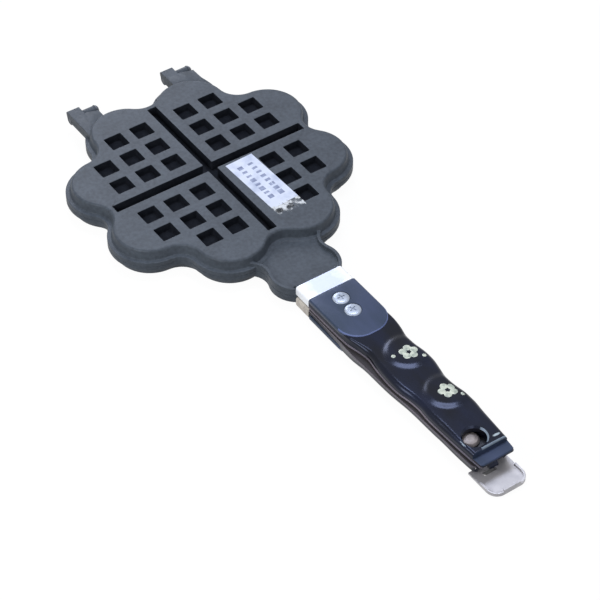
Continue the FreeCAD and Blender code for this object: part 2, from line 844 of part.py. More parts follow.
def cut_for_screws(s, shape):
    """Cut the tang's pocket, the screw holes and the head seats."""
    start = -s.grip_start.value
    half = (s.tang_width / 2 + s.pocket_play).value
    tang_top = (s.tang_base + s.tang_thickness).value
    end = start - (s.tang_length + s.pocket_play).value
    shape = shape.cut(box(-half, half, end, start, 0, tang_top))
    for reach in s.screw_reaches:
        hole = Part.makeCylinder(s.screw_radius.value, s.panel_height.value, Vector(0, -reach.value, 0))
        seat = Part.makeCylinder((s.screw_head_radius + s.pocket_play).value, s.panel_height.value,
                                 Vector(0, -reach.value, s.screw_seat.value))
        shape = shape.cut(hole).cut(seat)
    return shape


def rivet_seat(s):
    """Height of the bracket's upper face, on which the rivet's head sits."""
    return s.latch_pin_height + s.latch_pin_radius + s.latch_eye_wall


def make_upper_grip(s, doc):
    """Upper grip: panel, end hole, and the lowered ledge with its hooked tongue."""
    end = s.grip_end.value
    shape = grip_blank(s, s.grip_end, False).fuse(panel_block(s))
    shape = cut_for_screws(s, shape)
    hole = Vector(-s.latch_offset.value, -s.end_hole_reach.value, 0)
    radius, lead, tall = s.end_hole_radius.value, s.end_hole_lead.value, s.grip_height.value
    shape = shape.cut(Part.makeCylinder(radius, tall * 2, hole))
    hole.z = tall * GRIP_SECTION_SHARES[-2][2] - lead
    shape = shape.cut(Part.makeCone(radius, radius + tall, tall, hole))
    rivet = Vector(-s.latch_offset.value, -s.rivet_reach.value, 0)
    room = s.notch_play.value
    head_top = (rivet_seat(s) + s.rivet_head_height - s.half_thickness).value
    shape = shape.cut(Part.makeCylinder(s.rivet_head_radius.value + room, head_top + room, rivet))
    half, ledge = s.grip_half_width.value, end - s.ledge_length.value
    top, under = s.ledge_top.value, s.ledge_underside.value
    shape = shape.cut(box(-half, half, -end, -ledge, top, tall * 2))
    shape = shape.cut(box(-half, half, -end, -ledge, 0, under))
    pin_y, pin_depth = -s.latch_pin_reach.value, (s.latch_pin_height - s.half_thickness).value
    side, offset = s.tongue_half_width.value, s.latch_offset.value
    reach = s.tongue_swing_radius.value
    tongue = box(-offset - side, side - offset, pin_y - reach, s.tongue_thickness.value - end,
                 -s.tongue_drop.value, top)
    swing = Part.makeCylinder(reach, side * 2, Vector(-offset - side, pin_y, pin_depth), Vector(1, 0, 0))
    shape = shape.fuse(tongue.common(swing)).removeSplitter()
    return place_feature(s, doc, "upper_handle", shape, UPPER)


def make_lower_grip(s, doc):
    """Lower grip: panel, and the notch, recess and rivet hole for the latch."""
    end = s.lower_grip_end.value
    shape = grip_blank(s, s.lower_grip_end, True).fuse(panel_block(s))
    shape = cut_for_screws(s, shape)
    pin_depth = (s.half_thickness - s.latch_pin_height).value
    strip_under = pin_depth - s.latch_pin_radius.value
    half = s.bracket_width.value / 2
    play = s.notch_play.value
    shape = shape.cut(box(-half - play, half + play, -end, -s.bracket_back_reach.value + play,
                          0, strip_under))
    notch = s.latch_pin_reach.value - (s.latch_pin_radius + s.latch_eye_wall).value - play
    shape = shape.cut(box(-half - play, half + play, -end, -notch, 0, s.grip_height.value * 2))
    bore = Part.makeCylinder(s.latch_pin_radius.value, s.latch_pin_length.value,
                             Vector(-s.latch_pin_length.value / 2, -s.latch_pin_reach.value, pin_depth),
                             Vector(1, 0, 0))
    shape = shape.cut(bore)
    rivet = Vector(s.latch_offset.value, -s.rivet_reach.value, 0)
    shape = shape.cut(Part.makeCylinder(s.rivet_shank_radius.value, s.grip_height.value * 2, rivet))
    rivet.z = (s.half_thickness - s.rivet_washer_height).value
    seat = s.rivet_washer_radius.value + s.pocket_play.value
    shape = shape.cut(Part.makeCylinder(seat, s.grip_height.value, rivet))
    return place_feature(s, doc, "lower_handle", shape.removeSplitter(), LOWER)


def place_feature(s, doc, name, shape, placement):
    """Put a finished shape into the document as a named feature and place it."""
    feature = doc.addObject("Part::Feature", name)
    feature.Label = name
    feature.Shape = shape
    feature.Placement = placement
    feature.setExpression("Placement.Base.z", s.half_thickness.text)
    return feature


# Latch

def make_latch_pin(s, doc):
    """The clip's pin, which sits in the two cheeks of the lower grip."""
    body = new_body(doc, "latch_pin")
    sketch = new_sketch(body, "YZ_Plane", "pin_side", -s.latch_pin_length / 2)
    add_circle(sketch, -s.latch_pin_reach, s.latch_pin_height, s.latch_pin_radius)
    pad(body, sketch, s.latch_pin_length, "pin")
    return body


def make_latch_bracket(s, doc):
    """Steel strip on the lower grip's inner face, forked into two rolled eyes for the pin."""
    body = new_body(doc, "latch_bracket")
    eye = s.latch_pin_radius + s.latch_eye_wall
    half = s.bracket_width / 2
    low = s.latch_pin_height + s.latch_pin_radius
    fork = s.knuckle_width / 2 + s.knuckle_play
    throat = s.latch_pin_reach - eye - s.notch_play
    sketch = new_sketch(body, "XY_Plane", "strip_plan", low)
    back, front = -s.bracket_back_reach, -s.latch_pin_reach
    points = [(-half, back), (-half, front), (-fork, front), (-fork, -throat), (fork, -throat),
              (fork, front), (half, front), (half, back)]
    add_outline(sketch, points)
    pad(body, sketch, s.latch_eye_wall, "strip")
    for side, start in (("left", -half), ("right", fork)):
        sketch = new_sketch(body, "YZ_Plane", f"{side}_eye_side", start)
        add_circle(sketch, -s.latch_pin_reach, s.latch_pin_height, eye)
        pad(body, sketch, half - fork, f"{side}_eye")
    sketch = new_sketch(body, "YZ_Plane", "eye_bore_side")
    add_circle(sketch, -s.latch_pin_reach, s.latch_pin_height, s.latch_pin_radius)
    pocket(body, sketch, "eye_bore", both_ways=True)
    sketch = new_sketch(body, "XY_Plane", "rivet_hole_plan")
    add_circle(sketch, -s.latch_offset, -s.rivet_reach, s.rivet_shank_radius)
    pocket(body, sketch, "rivet_hole", upward=True)
    return body


def make_latch_rivet(s, doc):
    """Dome-headed rivet that holds the bracket, set over a washer underneath."""
    body = new_body(doc, "latch_rivet")
    body.setExpression("Placement.Base.x", (-s.latch_offset).text)
    body.setExpression("Placement.Base.y", (-s.rivet_reach).text)
    sketch = new_sketch(body, "XZ_Plane", "rivet_profile")
    seat = rivet_seat(s)
    under = s.rivet_washer_height - s.rivet_washer_thickness
    head, rise = s.rivet_head_radius, s.rivet_head_height
    shank, tail = s.rivet_shank_radius, s.rivet_tail_radius
    points = [(ZERO, under - s.rivet_tail_height), (shank, under - s.rivet_tail_height), (tail, under),
              (shank, under), (shank, seat), (head, seat), (head, seat + rise * 0.35),
              (head * 0.8, seat + rise * 0.8), (head * 0.4, seat + rise), (ZERO, seat + rise)]
    add_outline(sketch, points)
    revolve(body, sketch, "V_Axis", "rivet")
    return body


def make_rivet_washer(s, doc):
    """Washer between the lower grip and the rivet's set end."""
    body = new_body(doc, "rivet_washer")
    sketch = new_sketch(body, "XY_Plane", "washer_plan", s.rivet_washer_height - s.rivet_washer_thickness)
    add_circle(sketch, -s.latch_offset, -s.rivet_reach, s.rivet_washer_radius)
    add_circle(sketch, -s.latch_offset, -s.rivet_reach, s.rivet_shank_radius)
    pad(body, sketch, s.rivet_washer_thickness, "washer")
    return body


def make_latch_clip(s, doc):
    """Pressed clip: flat tab with a slot and a turned-up rim, on a knuckle round the pin."""
    body = new_body(doc, "latch_clip")
    half, corner = s.clip_width / 2, s.clip_corner_radius
    eye = s.latch_pin_radius + s.latch_eye_wall
    back, tip = eye - s.latch_pin_reach, -s.clip_tip_reach
    sketch = new_sketch(body, "XY_Plane", "tab_plan", s.clip_underside)
    points = [(half, back), (-half, back), (-half, tip + corner), (corner - half, tip),
              (half - corner, tip), (half, tip + corner)]
    add_outline(sketch, points, {2: (corner, True), 4: (corner, True)})
    pad(body, sketch, s.clip_thickness, "tab")
    sketch = new_sketch(body, "XY_Plane", "rim_plan", s.clip_underside)
    wall, start = s.clip_thickness, -s.clip_rim_start_reach
    inner = corner - wall
    points = [(-half, start), (-half, tip + corner), (corner - half, tip), (half - corner, tip),
              (half, tip + corner), (half, start), (half - wall, start), (half - wall, tip + corner),
              (half - corner, tip + wall), (corner - half, tip + wall), (wall - half, tip + corner),
              (wall - half, start)]
    arcs = {1: (corner, True), 3: (corner, True), 7: (inner, False), 9: (inner, False)}
    add_outline(sketch, points, arcs)
    pad(body, sketch, s.clip_thickness + s.clip_rim_height, "rim")
    sketch = new_sketch(body, "XY_Plane", "lip_plan", s.clip_underside)
    add_box_outline(sketch, corner - half, half - corner, tip, tip + wall)
    pad(body, sketch, s.clip_thickness + s.clip_lip_height, "lip")
    knuckle = s.knuckle_width / 2
    sketch = new_sketch(body, "YZ_Plane", "knuckle_side", -knuckle)
    pin_y, pin_z, low = -s.latch_pin_reach, s.latch_pin_height, s.clip_underside
    add_outline(sketch, [(pin_y, pin_z - eye), (pin_y + eye - wall, pin_z - s.latch_pin_radius),
                         (pin_y + eye - wall, low), (pin_y + eye, low), (pin_y + eye, pin_z),
                         (pin_y, pin_z + eye), (pin_y - eye, pin_z)],
                {4: (eye, True), 5: (eye, True), 6: (eye, True)})
    pad(body, sketch, s.knuckle_width, "knuckle")
    sketch = new_sketch(body, "YZ_Plane", "knuckle_bore_side")
    add_circle(sketch, pin_y, pin_z, s.latch_pin_radius + s.latch_pin_play)
    pocket(body, sketch, "knuckle_bore", both_ways=True)
    sketch = new_sketch(body, "XY_Plane", "slot_plan")
    slot_half, slot_arm = s.clip_slot_width / 2, s.clip_slot_length / 2
    add_box_outline(sketch, -s.latch_offset - slot_arm, slot_arm - s.latch_offset,
                    -s.clip_slot_reach - slot_half, slot_half - s.clip_slot_reach)
    pocket(body, sketch, "slot", s.latch_pin_height - eye, upward=True)
    return body


# Label

def label_corners(s, near, far):
    """Corners of a slightly skewed strip of the label between two distances along it."""
    half, slant = s.label_width / 2, s.label_skew / s.label_length
    corners = []
    for along, side in ((near, 1), (near, -1), (far, -1), (far, 1)):
        x = s.label_side_offset + half * side + slant * along
        corners.append((x, -s.label_back_reach - along + slant * half * side))
    return corners


def make_label(s, doc, name, near, far, thickness):
    """A strip of the label, lying on the upper dish."""
    body = new_body(doc, name)
    sketch = new_sketch(body, "XY_Plane", "label_plan", s.half_thickness * 2)
    add_outline(sketch, label_corners(s, near, far))
    pad(body, sketch, thickness, "sheet")
    return body


UPPER = FreeCAD.Placement()
LOWER = FreeCAD.Placement(Vector(0, 0, 0), FreeCAD.Rotation(Vector(0, 1, 0), 180))


def build(doc):
    """Make every piece and return the document objects to export."""
    s = Sheet(make_sheet(doc))
    running = s.pin_radius + s.pin_clearance
    pieces = [
        make_plate(s, doc, "lower_plate", LOWER, -s.hinge_rise, s.pin_radius),
        make_plate(s, doc, "upper_plate", UPPER, s.hinge_rise, running),
        make_upper_grip(s, doc),
        make_lower_grip(s, doc),
        make_latch_pin(s, doc),
        make_latch_bracket(s, doc),
        make_latch_rivet(s, doc),
        make_rivet_washer(s, doc),
        make_latch_clip(s, doc),
        make_label(s, doc, "plain_label", ZERO, s.label_length, s.label_thickness),
        make_label(s, doc, "label_film", s.label_length, s.label_length + s.film_length,
                   s.film_thickness),
    ]
    for side, sign in (("left", -1), ("right", 1)):
        pieces.append(make_hinge_pin(s, doc, f"hinge_pin_{side}", sign))
        pieces.append(make_hinge_washer(s, doc, f"hinge_washer_{side}", sign))
    for half, placement in (("upper", UPPER), ("lower", LOWER)):
        pieces.append(make_collar(s, doc, f"{half}_collar", placement))
        for end, reach in zip(("front", "rear"), s.screw_reaches):
            pieces.append(make_screw(s, doc, f"{half}_{end}_screw", placement, reach))
    doc.recompute()
    return pieces


def check(doc, pieces):
    """Stop if any object failed, or if any piece isn't one sound solid."""
    for item in doc.Objects:
        if "Invalid" in item.State or "Error" in item.State:
            raise RuntimeError(f"{item.Name} failed: {item.State}")
    for piece in pieces:
        shape = piece.Shape
        if shape.isNull() or not shape.isValid() or len(shape.Solids) != 1:
            raise RuntimeError(f"{piece.Label} is not one sound solid")


def main():
    """Build the document, check it and write each piece to its own file."""
    doc = FreeCAD.newDocument("EggWafflePan")
    pieces = build(doc)
    check(doc, pieces)
    os.makedirs("parts", exist_ok=True)
    for piece in pieces:
        piece.Shape.exportStep(os.path.join("parts", f"{piece.Label}.step"))
        bounds = piece.Shape.BoundBox
        print(f"{piece.Label}: {piece.Shape.Volume:.1f} mm3, x {bounds.XMin:.2f} {bounds.XMax:.2f}, "
              f"y {bounds.YMin:.2f} {bounds.YMax:.2f}, z {bounds.ZMin:.2f} {bounds.ZMax:.2f}")


main()
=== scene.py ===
"""Looks of a hob egg waffle pan: two hinged flower castings, split grips, a latch and a label."""

import logging
import math
import random
from collections.abc import Callable
from dataclasses import dataclass
from enum import Enum, IntEnum

import bmesh
import bpy
from mathutils import Matrix, Vector, noise


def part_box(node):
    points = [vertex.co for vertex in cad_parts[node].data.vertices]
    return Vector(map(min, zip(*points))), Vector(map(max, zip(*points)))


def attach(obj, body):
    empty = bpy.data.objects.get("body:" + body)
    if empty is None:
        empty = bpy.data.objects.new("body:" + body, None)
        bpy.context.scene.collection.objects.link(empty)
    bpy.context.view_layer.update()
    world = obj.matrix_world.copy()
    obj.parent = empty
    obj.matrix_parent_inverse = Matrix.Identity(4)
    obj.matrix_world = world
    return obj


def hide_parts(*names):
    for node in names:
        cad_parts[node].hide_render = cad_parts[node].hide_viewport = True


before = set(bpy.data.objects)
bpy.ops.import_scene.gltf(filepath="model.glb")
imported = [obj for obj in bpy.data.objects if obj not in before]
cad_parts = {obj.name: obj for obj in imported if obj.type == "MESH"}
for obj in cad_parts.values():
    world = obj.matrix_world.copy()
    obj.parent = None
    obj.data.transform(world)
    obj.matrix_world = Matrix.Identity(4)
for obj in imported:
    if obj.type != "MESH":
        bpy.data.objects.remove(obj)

LOG = logging.getLogger("waffle_pan")
MM = 0.001
MATING_PLANE = 9 * MM
OUTER_FACE = 18 * MM

Point = tuple[float, float]
Triple = tuple[float, float, float]
Colour = tuple[float, float, float, float]
Socket = bpy.types.NodeSocket


class Body(Enum):
    """The three rigid bodies of the pan."""

    LOWER = "lower_half"
    UPPER = "upper_half"
    LATCH = "latch"


class Slot(Enum):
    """The material slots of the record."""

    CASTING = "coated_casting"
    PIN = "pin_steel"
    COLLAR = "collar_metal"
    GRIP = "grip_plastic"
    SCREW = "screw_steel"
    LATCH = "latch_steel"
    LABEL = "label_sheet"
    FILM = "label_film"


class Half(Enum):
    """The half of the pan that a grip belongs to."""

    UPPER = 1
    LOWER = -1


class Zone(IntEnum):
    """The zones of a grip, numbered as its materials are."""

    GLOSS = 0
    WORN = 1
    SEAM = 2
    MATT = 3
    SATIN = 4


def tint(red: int, green: int, blue: int) -> Colour:
    """A colour given as it shows on a screen.

    Args:
        red: Red from 0 to 255.
        green: Green from 0 to 255.
        blue: Blue from 0 to 255.

    Returns:
        The same colour in linear light, with full alpha.
    """
    def linear(value: int) -> float:
        """One channel in linear light."""
        share = value / 255
        return share / 12.92 if share <= 0.04045 else ((share + 0.055) / 1.055) ** 2.4

    return (linear(red), linear(green), linear(blue), 1.0)


def eased(share: float) -> float:
    """A share held between 0 and 1 and eased at both ends."""
    held = min(max(share, 0.0), 1.0)
    return held * held * (3 - 2 * held)


# Finishes

@dataclass(frozen=True)
class Relief:
    """One layer of surface relief: how strongly it shows, and its depth."""

    strength: float
    depth: float


class Wiring:
    """Nodes and links of one node tree."""

    def __init__(self, tree: bpy.types.NodeTree) -> None:
        """Take the tree."""
        self.tree = tree

    def add(self, kind: str, **settings: object) -> bpy.types.Node:
        """A new node.

        Args:
            kind: The node's type.
            **settings: Properties to set on it.

        Returns:
            The node.
        """
        node = self.tree.nodes.new(kind)
        for name, value in settings.items():
            setattr(node, name, value)
        return node

    def link(self, source: Socket, target: Socket) -> None:
        """Join two sockets."""
        self.tree.links.new(source, target)


class ShaderTree(Wiring):
    """A material's node tree, with short calls for the nodes that the finishes share."""

    def __init__(self, name: str) -> None:
        """Start a material with one principled shader and object coordinates.

        Args:
            name: The material's name.
        """
        self.material = bpy.data.materials.new(name)
        self.material.use_nodes = True
        super().__init__(self.material.node_tree)
        self.surface = self.tree.nodes["Principled BSDF"]
        self.place = self.add("ShaderNodeTexCoord").outputs["Object"]

    def feed(self, name: str, source: Socket) -> None:
        """Link a socket to a socket of the shader itself."""
        self.link(source, self.surface.inputs[name])

    def set(self, **values: float | Colour) -> None:
        """Give sockets of the shader itself a constant, named with underscores for spaces."""
        for name, value in values.items():
            self.surface.inputs[name.replace("_", " ")].default_value = value

    def stretched(self, scale: Triple) -> Socket:
        """Object coordinates scaled by axis.

        Args:
            scale: Scale along each axis.

        Returns:
            The coordinates' socket.
        """
        node = self.add("ShaderNodeMapping")
        node.inputs["Scale"].default_value = scale
        self.link(self.place, node.inputs["Vector"])
        return node.outputs["Vector"]

    def grain(self, size: float, detail: float = 2.0, vector: Socket | None = None) -> Socket:
        """Noise whose blobs are about a size across, in metres.

        Args:
            size: Width of a blob.
            detail: Octaves of finer noise on top.
            vector: Coordinates to use in place of the object's own.

        Returns:
            The noise's value socket.
        """
        node = self.add("ShaderNodeTexNoise")
        node.inputs["Scale"].default_value = 1.0 / size
        node.inputs["Detail"].default_value = detail
        self.link(vector or self.place, node.inputs["Vector"])
        return node.outputs["Fac"]

    def ramp(self, value: Socket, stops: Point, first: Colour, second: Colour) -> Socket:
        """Two colours spread over a value from 0 to 1.

        Args:
            value: Socket that drives the ramp.
            stops: Where the first colour ends and where the second one begins.
            first: Colour up to the first stop.
            second: Colour from the second stop on.

        Returns:
            The colour socket.
        """
        node = self.add("ShaderNodeValToRGB")
        for element, position, colour in zip(node.color_ramp.elements, stops, (first, second)):
            element.position = position
            element.color = colour
        self.link(value, node.inputs["Fac"])
        return node.outputs["Color"]

    def between(self, value: Socket, low: float, high: float) -> Socket:
        """A value from 0 to 1 spread over another range.

        Args:
            value: Socket of the value.
            low: Result for 0.
            high: Result for 1.

        Returns:
            The result's socket.
        """
        node = self.add("ShaderNodeMapRange")
        node.inputs["To Min"].default_value = low
        node.inputs["To Max"].default_value = high
        self.link(value, node.inputs["Value"])
        return node.outputs["Result"]

    def total(self, first: Socket, second: Socket) -> Socket:
        """The sum of two values.

        Args:
            first: Socket of one value.
            second: Socket of the other.

        Returns:
            The sum's socket.
        """
        node = self.add("ShaderNodeMath", operation="ADD")
        self.link(first, node.inputs[0])
        self.link(second, node.inputs[1])
        return node.outputs["Value"]

    def mixed(self, share: Socket, first: Socket, second: Socket) -> Socket:
        """Two colours mixed by a share.

        Args:
            share: Share of the second colour.
            first: Socket of the first colour.
            second: Socket of the second colour.

        Returns:
            The mixed colour's socket.
        """
        node = self.add("ShaderNodeMix", data_type="RGBA")
        for name, source in (("Factor", share), ("A", first), ("B", second)):
            self.link(source, node.inputs[name])
        return node.outputs["Result"]

    def bumps(self, *layers: tuple[Socket, Relief]) -> None:
        """Relief layers, the first one lowest.

        Args:
            *layers: Height socket and relief of each layer.
        """
        below = None
        for height, relief in layers:
            node = self.add("ShaderNodeBump")
            node.inputs["Strength"].default_value = relief.strength
            node.inputs["Distance"].default_value = relief.depth
            self.link(height, node.inputs["Height"])
            if below is not None:
                self.link(below, node.inputs["Normal"])
            below = node.outputs["Normal"]
        self.feed("Normal", below)


@dataclass(frozen=True)
class CoatedCasting:
    """Dark grey coated casting: satin, mottled, with a fine orange peel."""

    name: str = "coated_casting"
    light: Colour = tint(72, 79, 88)
    dark: Colour = tint(58, 64, 72)
    roughness: float = 0.46
    specular: float = 0.2
    uneven: float = 0.08
    mottle: float = 14 * MM
    peel: float = 0.9 * MM
    speckle: float = 2.2 * MM
    mottle_share: float = 0.45
    speckle_share: float = 0.55
    stops: Point = (0.36, 0.62)
    mottle_relief: Relief = Relief(0.25, 0.4 * MM)
    peel_relief: Relief = Relief(0.35, 0.08 * MM)

    def build(self) -> bpy.types.Material:
        """Make the material.

        Returns:
            The finished material.
        """
        shader = ShaderTree(self.name)
        cloud = shader.grain(self.mottle, detail=4.0)
        peel = shader.grain(self.peel, detail=3.0)
        speckle = shader.grain(self.speckle, detail=4.0)
        blend = shader.add("ShaderNodeMath", operation="MULTIPLY_ADD")
        blend.inputs[1].default_value = self.speckle_share
        shader.link(speckle, blend.inputs[0])
        shader.link(shader.between(cloud, 0.0, self.mottle_share), blend.inputs[2])
        shader.feed("Base Color",
                    shader.ramp(blend.outputs["Value"], self.stops, self.dark, self.light))
        shader.feed("Roughness", shader.between(peel, self.roughness - self.uneven,
                                                self.roughness + self.uneven))
        shader.set(Specular_IOR_Level=self.specular)
        shader.bumps((cloud, self.mottle_relief), (peel, self.peel_relief))
        return shader.material


@dataclass(frozen=True)
class GlossPlastic:
    """Moulded blue-black plastic with a wet gloss and faint flow marks."""

    name: str
    colour: Colour
    glint: Colour
    roughness: float = 0.36
    specular: float = 0.3
    uneven: float = 0.06
    sheen: Colour = (0.62, 0.7, 1.0, 1.0)
    ripple: float = 9 * MM
    flow: Triple = (1.0, 0.35, 1.0)
    fine: float = 0.7 * MM
    stops: Point = (0.35, 0.68)
    flow_relief: Relief = Relief(0.04, 0.3 * MM)
    fine_relief: Relief = Relief(0.05, 0.02 * MM)
    # A pale spot painted in as a highlight: its place, size, colour, grain, ragged edge and fade.
    painted_glint: Triple | None = None
    painted_glint_size: Triple = (2.6 * MM, 0.9 * MM, 4 * MM)
    painted_glint_colour: Colour = tint(176, 190, 196)
    painted_glint_grain: float = 1.4 * MM
    painted_glint_ragged: float = 0.4
    painted_glint_fade: Point = (0.55, 1.0)

    def build(self) -> bpy.types.Material:
        """Make the material.

        Returns:
            The finished material.
        """
        shader = ShaderTree(self.name)
        flow = shader.grain(self.ripple, vector=shader.stretched(self.flow))
        fine = shader.grain(self.fine)
        colour = shader.ramp(flow, self.stops, self.colour, self.glint)
        # One pale spot, a painted highlight.
        if self.painted_glint:
            colour = self.with_painted_glint(shader, colour)
        shader.feed("Base Color", colour)
        shader.feed("Roughness", shader.between(fine, self.roughness, self.roughness + self.uneven))
        shader.set(Specular_IOR_Level=self.specular, Specular_Tint=self.sheen)
        shader.bumps((flow, self.flow_relief), (fine, self.fine_relief))
        return shader.material

    def with_painted_glint(self, shader: ShaderTree, colour: Socket) -> Socket:
        """The colour with one pale spot mixed in as a painted highlight.

        Args:
            shader: The material's tree.
            colour: The plain colour.

        Returns:
            The colour with the spot mixed in.
        """
        shift = shader.add("ShaderNodeMapping", vector_type="TEXTURE")
        shift.inputs["Location"].default_value = self.painted_glint
        shift.inputs["Scale"].default_value = self.painted_glint_size
        shader.link(shader.place, shift.inputs["Vector"])
        length = shader.add("ShaderNodeVectorMath", operation="LENGTH")
        shader.link(shift.outputs["Vector"], length.inputs[0])
        ragged = shader.between(shader.grain(self.painted_glint_grain),
                                -self.painted_glint_ragged, self.painted_glint_ragged)
        reach = shader.total(length.outputs["Value"], ragged)
        mask = shader.ramp(reach, self.painted_glint_fade, (1, 1, 1, 1), (0, 0, 0, 1))
        spot = shader.ramp(reach, (0.0, 1.0), self.painted_glint_colour, self.painted_glint_colour)
        return shader.mixed(mask, colour, spot)


@dataclass(frozen=True)
class BrushedMetal:
    """Sheet or turned metal with fine lines along one axis and a soft stain."""

    name: str
    colour: Colour
    shade: Colour
    roughness: float
    metallic: float
    lines: Triple = (1.0, 40.0, 40.0)
    brush: float = 14 * MM
    stain: float = 6 * MM
    stops: Point = (0.3, 0.65)
    uneven: Point = (-0.05, 0.1)
    relief: Relief = Relief(0.1, 0.03 * MM)

    def build(self) -> bpy.types.Material:
        """Make the material.

        Returns:
            The finished material.
        """
        shader = ShaderTree(self.name)
        brush = shader.grain(self.brush, detail=3.0, vector=shader.stretched(self.lines))
        stain = shader.grain(self.stain, detail=3.0)
        shader.feed("Base Color", shader.ramp(stain, self.stops, self.shade, self.colour))
        low, high = (self.roughness + step for step in self.uneven)
        shader.feed("Roughness", shader.between(brush, low, high))
        shader.set(Metallic=self.metallic)
        shader.bumps((brush, self.relief))
        return shader.material


@dataclass(frozen=True)
class CollarMetal:
    """Bright pressed metal with painted reflection: lavender in the middle of its width and whiter
    towards its ends.
    """

    name: str = "collar_satin"
    middle: Colour = tint(208, 217, 246)
    ends: Colour = tint(244, 247, 252)
    half_width: float = 15.5 * MM
    cloud: float = 5 * MM
    cloud_share: float = 0.35
    stops: Point = (0.45, 0.9)
    brush: float = 12 * MM
    lines: Triple = (1.0, 40.0, 40.0)
    roughness: Point = (0.26, 0.4)
    metallic: float = 0.35
    relief: Relief = Relief(0.1, 0.03 * MM)

    def build(self) -> bpy.types.Material:
        """Make the material.

        Returns:
            The finished material.
        """
        shader = ShaderTree(self.name)
        # Painted reflection: lavender in the middle, white towards the ends, by distance from the
        # middle.
        split = shader.add("ShaderNodeSeparateXYZ")
        shader.link(shader.stretched((1 / self.half_width, 1.0, 1.0)), split.inputs["Vector"])
        side = shader.add("ShaderNodeMath", operation="ABSOLUTE")
        shader.link(split.outputs["X"], side.inputs[0])
        cloud = shader.between(shader.grain(self.cloud, detail=3.0),
                               -self.cloud_share, self.cloud_share)
        uneven = shader.total(side.outputs["Value"], cloud)
        shader.feed("Base Color", shader.ramp(uneven, self.stops, self.middle, self.ends))
        brush = shader.grain(self.brush, detail=3.0, vector=shader.stretched(self.lines))
        shader.feed("Roughness", shader.between(brush, *self.roughness))
        shader.set(Metallic=self.metallic)
        shader.bumps((brush, self.relief))
        return shader.material


@dataclass(frozen=True)
class SoftPrint:
    """Flat printed or inlaid colour, slightly uneven."""

    name: str
    colour: Colour
    shade: Colour
    roughness: float = 0.4
    cloud: float = 2.2 * MM
    stops: Point = (0.35, 0.62)
    relief: Relief = Relief(0.1, 0.05 * MM)
    fibre: float = 0.8 * MM
    fibre_relief: Relief | None = None

    def build(self) -> bpy.types.Material:
        """Make the material.

        Returns:
            The finished material.
        """
        shader = ShaderTree(self.name)
        cloud = shader.grain(self.cloud, detail=3.0)
        layers = [(cloud, self.relief)]
        if self.fibre_relief:
            layers.append((shader.grain(self.fibre, detail=3.0), self.fibre_relief))
        shader.feed("Base Color", shader.ramp(cloud, self.stops, self.shade, self.colour))
        shader.set(Roughness=self.roughness)
        shader.bumps(*layers)
        return shader.material


@dataclass(frozen=True)
class PaperSheet(SoftPrint):
    """Plain white label stock with faint fibres."""

    name: str = "label_stock"
    colour: Colour = tint(202, 209, 226)
    shade: Colour = tint(170, 180, 204)
    roughness: float = 0.45
    cloud: float = 9 * MM
    stops: Point = (0.3, 0.55)
    relief: Relief = Relief(0.3, 0.3 * MM)
    fibre_relief: Relief = Relief(0.1, 0.03 * MM)


@dataclass(frozen=True)
class ClearFilm:
    """Crumpled clear film: see-through, with milky creases."""

    name: str = "crumpled_film"
    colour: Colour = tint(214, 218, 222)
    shade: Colour = tint(150, 156, 160)
    crease: float = 3.2 * MM
    clear: Colour = (0.08, 0.08, 0.08, 1)
    milky: Colour = (0.9, 0.9, 0.9, 1)
    alpha_stops: Point = (0.46, 0.6)
    stops: Point = (0.3, 0.6)
    roughness: float = 0.2
    relief: Relief = Relief(0.6, 0.3 * MM)

    def build(self) -> bpy.types.Material:
        """Make the material.

        Returns:
            The finished material.
        """
        shader = ShaderTree(self.name)
        crease = shader.grain(self.crease, detail=4.0)
        alpha = shader.ramp(crease, self.alpha_stops, self.clear, self.milky)
        shader.feed("Base Color", shader.ramp(crease, self.stops, self.shade, self.colour))
        shader.feed("Alpha", alpha)
        shader.set(Roughness=self.roughness)
        shader.bumps((crease, self.relief))
        return shader.material


